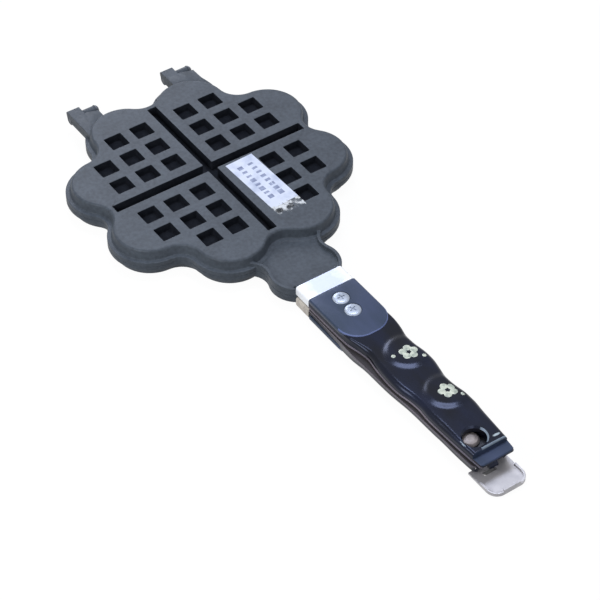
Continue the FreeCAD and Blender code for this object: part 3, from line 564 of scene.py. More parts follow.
class Finishes:
    """Every finish of the pan, made once."""

    def __init__(self) -> None:
        """Build the materials."""
        self.casting = CoatedCasting().build()
        # A darker, less shiny copy of the coating for the pockets of the outer face: painted shade.
        self.recess = CoatedCasting("recess_coating", tint(33, 36, 43), tint(23, 26, 33),
                                    roughness=0.6, specular=0.06).build()
        # The grip's pale spot near the ledge is a painted highlight.
        self.grip = GlossPlastic("grip_gloss", tint(6, 6, 9), tint(13, 18, 36), roughness=0.17,
                                 painted_glint=(8.1 * MM, -258.6 * MM, 15.6 * MM)).build()
        # A pale copy of the grip plastic: a painted highlight on the edge over the ledge and on the
        # lit arc of the end hole's lead-in.
        self.grip_painted_highlight = GlossPlastic("grip_worn_edge", tint(104, 118, 132), tint(140, 154, 166),
                                      roughness=0.3).build()
        # A paler copy of the grip plastic for the bead along the grips' sides: a painted highlight
        # that draws the light line of the seam.
        self.grip_seam = GlossPlastic("grip_seam", tint(92, 86, 94), tint(120, 112, 120),
                                      roughness=0.35).build()
        # A pale blue copy of the grip plastic for the sloped rim round the panel's U-shaped end: a
        # painted highlight.
        self.panel_rim = GlossPlastic("panel_rim", tint(92, 105, 146), tint(110, 122, 164)).build()
        # Satin finish for the panel, in a lighter colour than the grip that paints in the sheen of
        # reflected light; the ledge and its riser take it too.
        self.panel = GlossPlastic("panel_satin", tint(46, 57, 74), tint(56, 66, 90)).build()
        self.grip_matt = GlossPlastic("grip_matt", tint(64, 61, 63), tint(76, 73, 75),
                                      roughness=0.6, specular=0.1).build()
        self.collar = CollarMetal().build()
        self.dull_collar = BrushedMetal("collar_aged", tint(206, 200, 190), tint(170, 163, 156),
                                        roughness=0.4, metallic=0.4).build()
        self.screw = BrushedMetal("screw_plate", tint(166, 175, 190), tint(138, 147, 163),
                                  roughness=0.34, metallic=0.5, lines=(40.0, 40.0, 1.0)).build()
        self.rivet = BrushedMetal("rivet_dull", tint(158, 150, 148), tint(124, 117, 118),
                                  roughness=0.42, metallic=0.4).build()
        self.strip = BrushedMetal("strip_dull", tint(74, 76, 84), tint(52, 54, 62),
                                  roughness=0.45, metallic=0.5).build()
        self.latch = BrushedMetal("latch_satin", tint(192, 190, 194), tint(170, 169, 174),
                                  roughness=0.4, metallic=0.45, lines=(40.0, 1.0, 40.0)).build()
        self.pin = BrushedMetal("pin_blued", tint(84, 88, 96), tint(58, 62, 70),
                                roughness=0.4, metallic=0.5).build()
        self.paper = PaperSheet().build()
        self.print = SoftPrint("label_bars", tint(104, 114, 146), tint(142, 152, 180)).build()
        self.blossom = SoftPrint("blossom_inlay", tint(206, 212, 196), tint(150, 160, 150),
                                 roughness=0.3).build()
        self.film = ClearFilm().build()


# Mesh helpers

def new_object(name: str, mesh: bpy.types.Mesh) -> bpy.types.Object:
    """A new object in the scene.

    Args:
        name: Name of the object.
        mesh: The mesh that it shows.

    Returns:
        The object.
    """
    item = bpy.data.objects.new(name, mesh)
    bpy.context.scene.collection.objects.link(item)
    return item


def object_from(mesh: bmesh.types.BMesh, name: str) -> bpy.types.Object:
    """A new object from a drawn mesh, which is freed.

    Args:
        mesh: The drawn mesh.
        name: Name of the object and its mesh.

    Returns:
        The object.
    """
    data = bpy.data.meshes.new(name)
    mesh.to_mesh(data)
    mesh.free()
    return new_object(name, data)


def baked(item: bpy.types.Object) -> bpy.types.Object:
    """Turn an object's modifiers into its mesh.

    Args:
        item: The object with its modifiers.

    Returns:
        The same object, with a plain mesh.
    """
    bpy.context.view_layer.update()
    graph = bpy.context.evaluated_depsgraph_get()
    mesh = bpy.data.meshes.new_from_object(item.evaluated_get(graph))
    mesh.name = item.name
    item.modifiers.clear()
    item.data = mesh
    return item


def smooth(item: bpy.types.Object, angle: float) -> None:
    """Shade smooth, but keep edges sharper than an angle, in degrees."""
    item.data.polygons.foreach_set("use_smooth", [True] * len(item.data.polygons))
    item.data.set_sharp_from_angle(angle=math.radians(angle))


def bevelled(item: bpy.types.Object, width: float, segments: int, angle: float) -> None:
    """Round the edges of an object that are sharper than an angle.

    Args:
        item: The object.
        width: Width of the rounding.
        segments: Faces across the rounding.
        angle: The least angle that is rounded, in degrees.
    """
    rounding = item.modifiers.new("rounded_edges", "BEVEL")
    rounding.width = width
    rounding.segments = segments
    rounding.limit_method = "ANGLE"
    rounding.angle_limit = math.radians(angle)
    baked(item)


def onto_half(item: bpy.types.Object, half: Half) -> None:
    """Lift a piece drawn over the mating plane into place, turned over for the lower half."""
    turn = Matrix.Diagonal((half.value, 1, half.value, 1))
    item.data.transform(Matrix.Translation((0, 0, MATING_PLANE)) @ turn)


def settle(item: bpy.types.Object, body: Body, slot: Slot, *nodes: str) -> None:
    """Give a finished piece its body and hide the nodes that it stands for.

    Args:
        item: The finished piece.
        body: The body that it rides on.
        slot: Its material slot; not used.
        *nodes: The nodes that it replaces.
    """
    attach(item, body.value)
    if nodes:
        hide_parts(*nodes)
    LOG.info("%s: %d faces on %s", item.name, len(item.data.polygons), body.value)


def box_mesh(low: Vector, high: Vector) -> bmesh.types.BMesh:
    """A block between two corners.

    Args:
        low: Its corner of least coordinates.
        high: Its corner of greatest coordinates.

    Returns:
        The drawn mesh.
    """
    mesh = bmesh.new()
    middle, size = (low + high) / 2, high - low
    place = Matrix.Translation(middle) @ Matrix.Diagonal((*size, 1.0))
    bmesh.ops.create_cube(mesh, size=1.0, matrix=place)
    return mesh


def prism_mesh(outline: list[Vector], axis: int, end: float) -> bmesh.types.BMesh:
    """A closed prism.

    Args:
        outline: Corners of its first face.
        axis: Number of the axis that it runs along.
        end: Place of its far face on that axis.

    Returns:
        The drawn mesh, with its faces pointing outwards.
    """
    mesh = bmesh.new()
    face = mesh.faces.new([mesh.verts.new(corner) for corner in outline])
    raised = bmesh.ops.extrude_face_region(mesh, geom=[face])
    for item in raised["geom"]:
        if isinstance(item, bmesh.types.BMVert):
            item.co[axis] = end
    bmesh.ops.recalc_face_normals(mesh, faces=mesh.faces)
    return mesh


def lathe_mesh(profile: list[Point], centre: Vector, steps: int = 48) -> bmesh.types.BMesh:
    """A closed turned shape about the vertical axis.

    Args:
        profile: Radius and height of each point, from the axis round to the axis.
        centre: Foot of the axis.
        steps: Number of flats round it.

    Returns:
        The turned mesh, with its faces pointing outwards.
    """
    mesh = bmesh.new()
    turns = [2 * math.pi * step / steps for step in range(steps)]
    rings = []
    for radius, height in profile:
        around = turns if radius else [0.0]
        rings.append([mesh.verts.new(centre + Vector((radius * math.cos(turn),
                                                      radius * math.sin(turn), height)))
                      for turn in around])
    for first, second in zip(rings, rings[1:]):
        for step in range(steps):
            after = (step + 1) % steps
            corners = (first[step % len(first)], first[after % len(first)],
                       second[after % len(second)], second[step % len(second)])
            unique = list(dict.fromkeys(corners))
            if len(unique) > 2:
                mesh.faces.new(unique)
    bmesh.ops.recalc_face_normals(mesh, faces=mesh.faces)
    return mesh


def thin_sheet(name: str, columns: int, rows: int, spot: Callable[[int, int], Vector],
               wall: float) -> bpy.types.Object:
    """A thin closed sheet over a grid of points.

    Args:
        name: Name of the object.
        columns: Number of cells across it.
        rows: Number of cells along it.
        spot: Gives the point at a column and a row.
        wall: Thickness of the sheet.

    Returns:
        The sheet, as a plain mesh object.
    """
    mesh = bmesh.new()
    grid = [[mesh.verts.new(spot(column, row)) for column in range(columns + 1)]
            for row in range(rows + 1)]
    for near, far in zip(grid, grid[1:]):
        for column in range(columns):
            mesh.faces.new((near[column], far[column], far[column + 1], near[column + 1]))
    item = object_from(mesh, name)
    thickness = item.modifiers.new("thickness", "SOLIDIFY")
    thickness.thickness = wall
    thickness.offset = 1
    return baked(item)


def combine(item: bpy.types.Object, operation: str, tools: list[bmesh.types.BMesh]) -> None:
    """Cut tools out of an object, or join them to it, one after the other.

    Args:
        item: The object to change.
        operation: DIFFERENCE or UNION.
        tools: The drawn tools, which are freed.
    """
    for number, tool in enumerate(tools):
        cutter = object_from(tool, f"tool_{number}")
        step = item.modifiers.new("combine", "BOOLEAN")
        step.operation = operation
        step.solver = "EXACT"
        step.object = cutter
        baked(item)
        bpy.data.objects.remove(cutter)


# Castings and hardware

@dataclass
class Refined:
    """A CAD solid with its edges rounded, as a cast, pressed or turned piece has them."""

    node: str
    body: Body
    slot: Slot
    material: bpy.types.Material
    edge: float = 0.3 * MM
    segments: int = 2
    weld: float = 0.002 * MM
    crease: float = 32.0
    clamped: bool = True

    def build(self) -> bpy.types.Object:
        """Copy the node's mesh, clean it, round its edges and dress it.

        Returns:
            The finished piece.
        """
        piece = new_object(f"{self.node}_skin", self.clean_copy())
        rounding = piece.modifiers.new("rounded_edges", "BEVEL")
        rounding.width = self.edge
        rounding.segments = self.segments
        rounding.limit_method = "WEIGHT"
        rounding.use_clamp_overlap = self.clamped
        rounding.miter_outer = "MITER_ARC"
        baked(piece)
        smooth(piece, self.crease)
        normals = piece.modifiers.new("flat_faces", "WEIGHTED_NORMAL")
        normals.keep_sharp = True
        baked(piece)
        piece.data.materials.clear()
        piece.data.materials.append(self.material)
        settle(piece, self.body, self.slot, self.node)
        return piece

    def edge_share(self, spot: Vector) -> float:
        """Share of the full rounding that a sharp edge takes at a place."""
        return 1.0

    def clean_copy(self) -> bpy.types.Mesh:
        """The node's mesh with its loose triangles joined and its sharp edges marked.

        Returns:
            The clean mesh.
        """
        mesh = bmesh.new()
        mesh.from_mesh(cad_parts[self.node].data)
        bmesh.ops.remove_doubles(mesh, verts=mesh.verts, dist=self.weld)
        weight = mesh.edges.layers.float.new("bevel_weight_edge")
        for edge in mesh.edges:
            if edge.is_manifold and edge.calc_face_angle(0.0) > math.radians(self.crease):
                edge[weight] = self.edge_share((edge.verts[0].co + edge.verts[1].co) / 2)
        result = bpy.data.meshes.new(self.node)
        mesh.to_mesh(result)
        mesh.free()
        return result


@dataclass
class Casting(Refined):
    """A flower casting: its deep pockets get a darker copy of its coating, which paints shade into
    them.
    """

    recess: bpy.types.Material | None = None
    outer_face: float = OUTER_FACE
    half: Half = Half.UPPER
    pocket_depth: float = 0.7 * MM
    pocket_floor: float = 7.4 * MM
    pocket_reach: float = 62 * MM
    pocket_limit: float = 69.5 * MM
    outward_share: float = 0.2
    clamped: bool = False
    lug_root: float = 75.5 * MM
    lug_end: float = 92.4 * MM
    lug_share: float = 0.3
    tang_root: float = -110.5 * MM

    def edge_share(self, spot: Vector) -> float:
        """Full rounding on the dish, less on the lugs, and none at their ends and on the tang.

        Args:
            spot: The middle of a sharp edge.

        Returns:
            The share of the full rounding.
        """
        if spot.y < self.tang_root or spot.y > self.lug_end:
            return 0.0
        return self.lug_share if spot.y > self.lug_root else 1.0

    def build(self) -> bpy.types.Object:
        """Build the skin, then paint shade into the pockets of its outer face with a darker copy of
        its coating.

        Returns:
            The finished piece.
        """
        piece = super().build()
        piece.data.materials.append(self.recess)
        # Faces in a pocket take the darker copy: painted shade.
        for face in piece.data.polygons:
            face.material_index = int(self.in_pocket(face.center, face.normal))
        return piece

    def in_pocket(self, spot: Vector, normal: Vector) -> bool:
        """Whether a face lies in a recess or groove of the outer face.

        Args:
            spot: The face's centre.
            normal: The face's normal.

        Returns:
            True for a face in a pocket.
        """
        depth = (self.outer_face - spot.z) * self.half.value
        reach = math.hypot(spot.x, spot.y)
        outward = normal.x * spot.x + normal.y * spot.y > self.outward_share * reach
        return (self.pocket_depth < depth < self.pocket_floor
                and (reach < self.pocket_reach or reach < self.pocket_limit and not outward))


@dataclass
class LugWebs:
    """The webs that carry the upper dish's hinge lugs, rounded as cast."""

    material: bpy.types.Material
    foot: float = 0.2 * MM
    top: float = 6.45 * MM
    fall: float = 2.15 * MM
    slices: int = 8
    lug_width: float = 8.3 * MM
    pair_width: float = 19.0 * MM
    edge: float = 0.9 * MM
    far_edge: float = 86.6

    def plans(self) -> list[list[Point]]:
        """Outline of each web, in millimetres: out from the dish's wall and back along it.

        Returns:
            The right web's outline and the left one's.
        """
        far = self.far_edge
        right = [(25.0, 76.2), (25.0, far), (43.7, far), (43.9, 77.5), (45.1, 71.7), (45.6, 68.0),
                 (45.2, 64.5), (43.4, 63.2), (41.5, 66.6), (38.6, 70.1), (35.0, 72.9),
                 (31.0, 74.9), (27.5, 75.9)]
        left = [(-24.3, 76.3), (-27.5, 75.9), (-31.0, 74.9), (-35.0, 72.9), (-38.6, 70.1),
                (-41.5, 66.6), (-41.5, far), (-24.3, far)]
        return [right, left]

    def build(self) -> None:
        """Make both webs as one piece."""
        merged = bmesh.new()
        for plan in self.plans():
            web = bpy.data.meshes.new("web")
            drawn = self.web(plan)
            drawn.to_mesh(web)
            drawn.free()
            merged.from_mesh(web)
        item = object_from(merged, "lug_webs")
        bevelled(item, self.edge, segments=3, angle=50)
        onto_half(item, Half.UPPER)
        item.data.materials.append(self.material)
        smooth(item, angle=40)
        settle(item, Body.UPPER, Slot.CASTING)

    def web(self, plan: list[Point]) -> bmesh.types.BMesh:
        """One web, whose top falls away from the lug that it carries.

        Args:
            plan: Its outline, in millimetres.

        Returns:
            The drawn mesh.
        """
        mesh = prism_mesh([Vector((x * MM, y * MM, self.foot)) for x, y in plan], 2, self.top)
        start = min(x for x, _ in plan) * MM
        slope = self.pair_width - self.lug_width
        for step in range(1, self.slices):
            place = start + self.lug_width + slope * step / self.slices
            bmesh.ops.bisect_plane(mesh, geom=[*mesh.verts, *mesh.edges, *mesh.faces],
                                   plane_co=(place, 0, 0), plane_no=(1, 0, 0))
        for vertex in mesh.verts:
            if vertex.co.z > self.foot * 2:
                past = (vertex.co.x - start - self.lug_width) / slope
                vertex.co.z -= self.fall * eased(past)
        bmesh.ops.recalc_face_normals(mesh, faces=mesh.faces)
        return mesh


# Grips

SECTION_SHARES = (
    (0.956, 0.956, 0.941), (0.959, 0.959, 0.941), (0.963, 0.963, 0.941), (0.966, 0.969, 0.941),
    (0.969, 0.975, 0.941), (0.984, 0.988, 0.926), (0.963, 0.994, 0.890), (0.894, 0.975, 0.860),
    (0.894, 0.963, 0.868), (0.956, 0.950, 0.897), (0.981, 0.931, 0.904), (0.912, 0.900, 0.868),
    (0.831, 0.863, 0.838), (0.850, 0.838, 0.860), (0.919, 0.825, 0.890), (0.944, 0.812, 0.897),
    (0.900, 0.794, 0.882), (0.856, 0.781, 0.868), (0.819, 0.762, 0.853), (0.794, 0.738, 0.838),
    (0.769, 0.675, 0.824),
)
UPPER_LEFT_HALF_WIDTHS = (15.4, 15.4, 15.4, 15.3, 15.2, 14.7, 13.0, 12.1, 13.1, 13.8, 14.1, 13.7,
                          12.4, 11.8, 12.3, 12.3, 12.0, 11.7, 11.3, 10.9, 10.6)


@dataclass
class GripShape:
    """Form of a grip: its plan and height follow listed shares, with raised finger pads."""

    half: Half
    start: float = -122.4 * MM
    length: float = 147.1 * MM
    half_width: float = 16 * MM
    foot: float = 0.6 * MM
    height: float = 7.4 * MM
    flat_round: float = 1.2 * MM
    side_round: float = 3.3 * MM
    round_start: float = -158 * MM
    round_growth: float = 20 * MM
    end_round: float = 2.3 * MM
    end_start: float = -236 * MM
    bead: float = 0.45 * MM
    bead_height: float = 1.3 * MM
    bead_inset: float = 0.2 * MM
    bead_low: float = 0.3 * MM
    bead_high: float = 0.75 * MM
    bead_blend: Point = (0.12 * MM, 0.25 * MM)
    side_steps: int = 9
    crown_steps: int = 32
    crown_share: float = 0.05
    pads: tuple[Point, ...] = ((5.8 * MM, -184.5 * MM), (5.9 * MM, -219.5 * MM))
    pad_radius: float = 14.3 * MM
    pad_slope: float = 5.2 * MM
    pad_height: float = 0.82 * MM

    def shares(self, y: float) -> Triple:
        """Half widths towards +X and -X, and height, at a place along the grip.

        Args:
            y: Place along the grip.

        Returns:
            The two half widths and the height over the mating plane.
        """
        last = len(SECTION_SHARES) - 1
        along = min(max((self.start - y) / self.length, 0.0), 1.0) * last
        index = min(int(along), last - 1)
        part = along - index
        near = [min(max(index + step, 0), last) for step in (-1, 0, 1, 2)]
        rows = [(*SECTION_SHARES[number], UPPER_LEFT_HALF_WIDTHS[number] * MM) for number in near]
        plus, minus, tall, left = (
            0.5 * (2 * b + (c - a) * part + (2 * a - 5 * b + 4 * c - d) * part ** 2
                   + (3 * b - a - 3 * c + d) * part ** 3)
            for a, b, c, d in zip(*rows))
        if self.half is Half.LOWER:
            left = minus * self.half_width
        return plus * self.half_width, left, self.foot + tall * (self.height - self.foot)

    def roundness(self, y: float) -> float:
        """Radius of the shoulder: small beside the panel, largest at the finger pads.

        Args:
            y: Place along the grip.

        Returns:
            The radius.
        """
        share = eased((self.round_start - y) / self.round_growth)
        tail = eased((self.end_start - y) / self.round_growth)
        full = self.side_round + (self.end_round - self.side_round) * tail
        return self.flat_round + (full - self.flat_round) * share

    def pad_rise(self, x: float, y: float) -> float:
        """How far the finger pads lift the surface at a place."""
        return max(self.pad_height * eased((self.pad_radius - math.hypot(x - pad_x, y - pad_y))
                                           / self.pad_slope) for pad_x, pad_y in self.pads)

    def surface(self, x: float, y: float) -> float:
        """Height of the crowned top over the mating plane at a place.

        Args:
            x: Place across the grip.
            y: Place along the grip.

        Returns:
            The height.
        """
        plus, minus, top = self.shares(y)
        edge = self.roundness(y)
        middle, reach = (plus - minus) / 2, (plus + minus) / 2 - edge - self.bead
        past = min(max(abs(x - middle) - reach, 0.0), edge)
        across = min(abs(x - middle) / reach, 1.0)
        crown = (top - self.foot) * self.crown_share * (1 - across * across)
        drop = edge - math.sqrt(edge * edge - past * past)
        return top + crown - drop + self.pad_rise(x, y) * (1 - past / edge)

    def side_points(self, y: float, half: float, side: int) -> list[Vector]:
        """One side of the section, from the foot up over its bead to the start of the crown.

        Args:
            y: Place along the grip.
            half: Half width on this side.
            side: 1 for the side towards +X, -1 for the other.

        Returns:
            The points, from the foot up.
        """
        top, edge = self.shares(y)[2], self.roundness(y)
        wall = half - self.bead
        blend_out, blend_down = self.bead_blend
        low = [(half - self.bead_inset, self.foot), (half, self.foot + self.bead_low),
               (half, self.foot + self.bead_high),
               (wall + blend_out, self.foot + self.bead_height - blend_down),
               (wall, self.foot + self.bead_height)]
        points = [Vector((x * side, y, height)) for x, height in low]
        for step in range(self.side_steps):
            turn = math.pi / 2 * step / self.side_steps
            x = (wall - edge + edge * math.cos(turn)) * side
            lift = self.pad_rise(x, y) * math.sin(turn)
            points.append(Vector((x, y, top - edge + edge * math.sin(turn) + lift)))
        return points

    def section(self, y: float) -> list[Vector]:
        """The cross-section at a place, from the foot on -X over the top to the foot on +X.

        Args:
            y: Place along the grip.

        Returns:
            The points of the section.
        """
        plus, minus, _ = self.shares(y)
        inset, flats = self.roundness(y) + self.bead, self.crown_steps
        left, right = self.side_points(y, minus, -1), self.side_points(y, plus, 1)
        crown = []
        for step in range(flats + 1):
            x = inset - minus + (plus + minus - 2 * inset) * step / flats
            crown.append(Vector((x, y, self.surface(x, y))))
        return left + crown + right[::-1]


@dataclass
class Grip:
    """One moulded grip with its raised panel."""

    half: Half
    body: Body
    node: str
    finishes: Finishes
    reach: float = -269.5 * MM
    end_round: float = 2 * MM
    overrun: float = 4 * MM
    length_steps: int = 150
    edge_steps: int = 6
    panel_end: float = -163.3 * MM
    panel_half_width: float = 15.4 * MM
    panel_corner: float = 13.2 * MM
    panel_steps: int = 14
    panel_foot: float = 4.44 * MM
    panel_top: float = 7.7 * MM
    panel_bevel: float = 0.95 * MM
    rim_slope: Point = (0.15, 0.95)
    tang_half_width: float = 7.1 * MM
    tang_end: float = -158.5 * MM
    tang_height: float = 4.4 * MM
    screw_places: Point = (-131.6 * MM, -142.8 * MM)
    seat_radius: float = 5.1 * MM
    seat_depth: float = 5.9 * MM
    hole: Point = (-2.2 * MM, -253.6 * MM)
    hole_radius: float = 6.6 * MM
    hole_lead: float = 0.9 * MM
    hole_steps: int = 64
    ledge_length: float = 7 * MM
    ledge_edge: float = 1.0 * MM
    ledge_top: float = 3.1 * MM
    ledge_foot: float = 1.3 * MM
    ledge_gap: float = 0.02 * MM
    ledge_flatness: float = 0.7
    # Bounds of the painted highlight on the edge over the ledge.
    highlight_start: float = -4.0 * MM
    highlight_reach: float = 0.1 * MM
    highlight_foot: float = 4.96 * MM
    # Lowest place on the ledge that takes the painted sheen.
    sheen_foot: float = 2.48 * MM
    inner_face: float = 0.66 * MM
    seam_start: float = 9.24 * MM
    lead_reach: float = 1.44 * MM
    lead_slope: Point = (0.3, 0.9)
    lead_turn: float = -0.35
    facing_down: float = -0.9
    facing_end: float = -0.7
    facing_side: float = 0.3
    latch_axis: Point = (-264 * MM, -2.4 * MM)
    tongue_span: Point = (-5.0 * MM, 0.6 * MM)
    tongue_heights: Point = (-1.4 * MM, 1.6 * MM)
    tongue_root: float = 2.3 * MM
    tongue_swing: float = 6.58 * MM
    tongue_steps: int = 6
    rivet: Point = (-2.2 * MM, -249.8 * MM)
    rivet_seat_radius: float = 4.8 * MM
    rivet_seat: float = 5.7 * MM
    head_room: float = 5.8 * MM
    head_top: float = 3.1 * MM
    strip_half_width: float = 8.55 * MM
    strip_start: float = -243.6 * MM
    strip_depth: float = 1.2 * MM
    fork_start: float = -261.4 * MM

    def __post_init__(self) -> None:
        """Take the form of this half's grip."""
        self.shape = GripShape(self.half)

    def build(self) -> None:
        """Make the grip and its panel."""
        look = self.finishes
        grip = self.shell()
        for material in (look.grip, look.grip_painted_highlight, look.grip_seam, look.grip_matt, look.panel):
            grip.data.materials.append(material)
        for face in grip.data.polygons:
            face.material_index = self.zone(face.center, face.normal)
        onto_half(grip, self.half)
        smooth(grip, angle=35)
        panel = self.panel()
        panel.data.materials.append(look.panel)
        panel.data.materials.append(look.panel_rim)
        # The sloped rim round the U-shaped end takes the pale copy: a painted highlight.
        low, high = self.rim_slope
        for face in panel.data.polygons:
            at_end = face.center.y < self.panel_end + self.panel_corner
            face.material_index = int(at_end and low < face.normal.z < high)
        onto_half(panel, self.half)
        smooth(panel, angle=50)
        settle(grip, self.body, Slot.GRIP, self.node)
        settle(panel, self.body, Slot.GRIP)

    def zone(self, spot: Vector, normal: Vector) -> Zone:
        """Zone of a face of the grip.

        Args:
            spot: The face's centre, over the mating plane.
            normal: The face's normal.

        Returns:
            The zone.
        """
        if self.half is Half.UPPER:
            # The edge over the ledge and the lit arc of the hole's lead-in get a painted highlight.
            if self.on_ledge_edge(spot) or self.on_hole_lead(spot, normal):
                return Zone.WORN
            # The ledge and its riser take the panel's lighter material: painted sheen.
            if self.on_ledge(spot, normal):
                return Zone.SATIN
        if normal.z < self.facing_down and spot.z < self.inner_face:
            return Zone.MATT
        # The bead low on the sides gets a painted highlight.
        on_side = (abs(normal.x) > self.facing_side
                   and spot.z < self.shape.foot + self.shape.bead_height)
        return Zone.SEAM if on_side and abs(spot.x) > self.seam_start else Zone.GLOSS

    def past_ledge(self, spot: Vector) -> float:
        """Distance of a place from the ledge's riser, towards the collar."""
        return spot.y - self.reach - self.ledge_length

    def on_ledge_edge(self, spot: Vector) -> bool:
        """Whether a face is on the part of the edge over the ledge that gets a painted highlight.
        """
        return (-self.highlight_reach < self.past_ledge(spot) < self.ledge_edge
                and spot.z > self.highlight_foot and spot.x > self.highlight_start)

    def on_ledge(self, spot: Vector, normal: Vector) -> bool:
        """Whether a face is on the ledge at the grip's end or on its riser, which get painted
        sheen.

        Args:
            spot: The face's centre.
            normal: The face's normal.

        Returns:
            True for a face of the ledge or the riser.
        """
        past = self.past_ledge(spot)
        return (past < self.ledge_edge and spot.z > self.sheen_foot
                and (normal.y < self.facing_end or past < 0 < normal.z))

    def on_hole_lead(self, spot: Vector, normal: Vector) -> bool:
        """Whether a face is on the part of the end hole's lead-in that catches the light.

        Args:
            spot: The face's centre.
            normal: The face's normal.

        Returns:
            True for a face of that arc.
        """
        away = math.hypot(spot.x - self.hole[0], spot.y - self.hole[1])
        gentle, steep = self.lead_slope
        return (away < self.hole_radius + self.lead_reach and gentle < normal.z < steep
                and normal.x < self.lead_turn < normal.y)

    def shell(self) -> bpy.types.Object:
        """The swelling body, cut for the tang, the screws and the latch.

        Returns:
            The body, over the mating plane.
        """
        mesh = bmesh.new()
        rings = []
        for y, cap in self.stations():
            draw = self.corner_draw(y)
            ring = []
            for point in self.shape.section(y):
                x = point.x * self.half.value
                drawn_in = math.copysign(max(abs(x) - draw, 0.0), x)
                ring.append(mesh.verts.new((drawn_in, y, min(point.z, cap))))
            rings.append(ring if self.half is Half.UPPER else ring[::-1])
        for first, second in zip(rings, rings[1:]):
            for number in range(len(first)):
                after = (number + 1) % len(first)
                mesh.faces.new((first[number], first[after], second[after], second[number]))
        mesh.faces.new(rings[0][::-1])
        mesh.faces.new(rings[-1])
        bmesh.ops.recalc_face_normals(mesh, faces=mesh.faces)
        shell = object_from(mesh, f"{self.node}_shell")
        combine(shell, "DIFFERENCE", self.cutters())
        if self.half is Half.UPPER:
            combine(shell, "UNION", [self.tongue()])
        return shell

    def stations(self) -> list[Point]:
        """Places of the cross-sections, each with the height that caps it.

        Returns:
            Place and cap of each section, from the collar to the end.
        """
        steps, turns, edge = self.length_steps, self.edge_steps, self.ledge_edge
        upper = self.half is Half.UPPER
        stop = self.reach + (self.ledge_length + edge if upper else edge)
        places = [(self.shape.start + (stop - self.shape.start) * step / steps, math.inf)
                  for step in range(steps + 1)]
        crest = self.shape.surface(0.0, stop)
        angles = [math.pi / 2 * step / turns for step in range(1, turns + 1)]
        arc = [(edge * (1 - math.sin(angle)), edge * (1 - math.cos(angle))) for angle in angles]
        places += [(stop - edge + along, crest - down) for along, down in arc]
        if upper:
            top = self.ledge_top
            places += [(stop - edge - self.ledge_gap, top), (self.reach + edge, top)]
            places += [(self.reach + along, top - down * self.ledge_flatness)
                       for along, down in arc]
        return places

    def corner_draw(self, y: float) -> float:
        """How far the rounded corners at the end draw the sides in.

        Args:
            y: Place along the grip.

        Returns:
            The distance on each side.
        """
        past = self.end_round - (y - self.reach)
        if past <= 0:
            return 0.0
        return self.end_round - math.sqrt(max(self.end_round ** 2 - past ** 2, 0.0))

    def tongue(self) -> bmesh.types.BMesh:
        """The hooked lip under the ledge that the latch clip catches.

        Returns:
            The drawn mesh.
        """
        near, far = self.tongue_span
        low, high = self.tongue_heights
        axis_y, axis_z = self.latch_axis
        root = self.reach + self.tongue_root
        profile = [(root, low)]
        for step in range(self.tongue_steps + 1):
            height = low + (high - low) * step / self.tongue_steps
            swing = math.sqrt(self.tongue_swing ** 2 - (height - axis_z) ** 2)
            profile.append((axis_y - swing, height))
        profile.append((root, high))
        return prism_mesh([Vector((near, y, z)) for y, z in profile], 0, far)

    def screw_seats(self) -> list[bmesh.types.BMesh]:
        """The round seats of the two screws.

        Returns:
            The drawn cutters.
        """
        tall = self.shape.height * 2
        profile = [(0, self.seat_depth), (self.seat_radius, self.seat_depth),
                   (self.seat_radius, tall), (0, tall)]
        return [lathe_mesh(profile, Vector((0, place, 0))) for place in self.screw_places]

    def cutters(self) -> list[bmesh.types.BMesh]:
        """Everything that is cut out of the swelling body.

        Returns:
            The drawn cutters.
        """
        tang = box_mesh(Vector((-self.tang_half_width, self.tang_end, -self.overrun)),
                        Vector((self.tang_half_width, 0, self.tang_height)))
        own = self.upper_cutters() if self.half is Half.UPPER else self.lower_cutters()
        return [tang, *self.screw_seats(), *own]

    def upper_cutters(self) -> list[bmesh.types.BMesh]:
        """The upper grip's end hole, its room for the rivet's head and the gap under its ledge.

        Returns:
            The drawn cutters.
        """
        wide, tall, foot = self.shape.half_width * 2, self.shape.height * 2, -self.overrun
        top = self.shape.surface(*self.hole)
        flare = self.hole_radius + tall - top + self.hole_lead
        hole = [(0, foot), (self.hole_radius, foot), (self.hole_radius, top - self.hole_lead),
                (flare, tall), (0, tall)]
        room = [(0, foot), (self.head_room, foot), (self.head_room, self.head_top),
                (0, self.head_top)]
        return [lathe_mesh(hole, Vector((*self.hole, 0)), self.hole_steps),
                lathe_mesh(room, Vector((*self.rivet, 0)), self.hole_steps),
                box_mesh(Vector((-wide, self.reach + foot, foot)),
                         Vector((wide, self.reach + self.ledge_length, self.ledge_foot)))]

    def lower_cutters(self) -> list[bmesh.types.BMesh]:
        """The lower grip's rivet seat and the seats of the bracket's strip and fork.

        Returns:
            The drawn cutters.
        """
        wide, tall = self.strip_half_width, self.shape.height * 2
        seat = [(0, self.rivet_seat), (self.rivet_seat_radius, self.rivet_seat),
                (self.rivet_seat_radius, tall), (0, tall)]
        corner = Vector((-wide, self.reach - self.overrun, -self.overrun))
        return [lathe_mesh(seat, Vector((-self.rivet[0], self.rivet[1], 0))),
                box_mesh(corner, Vector((wide, self.strip_start, self.strip_depth))),
                box_mesh(corner, Vector((wide, self.fork_start, tall)))]

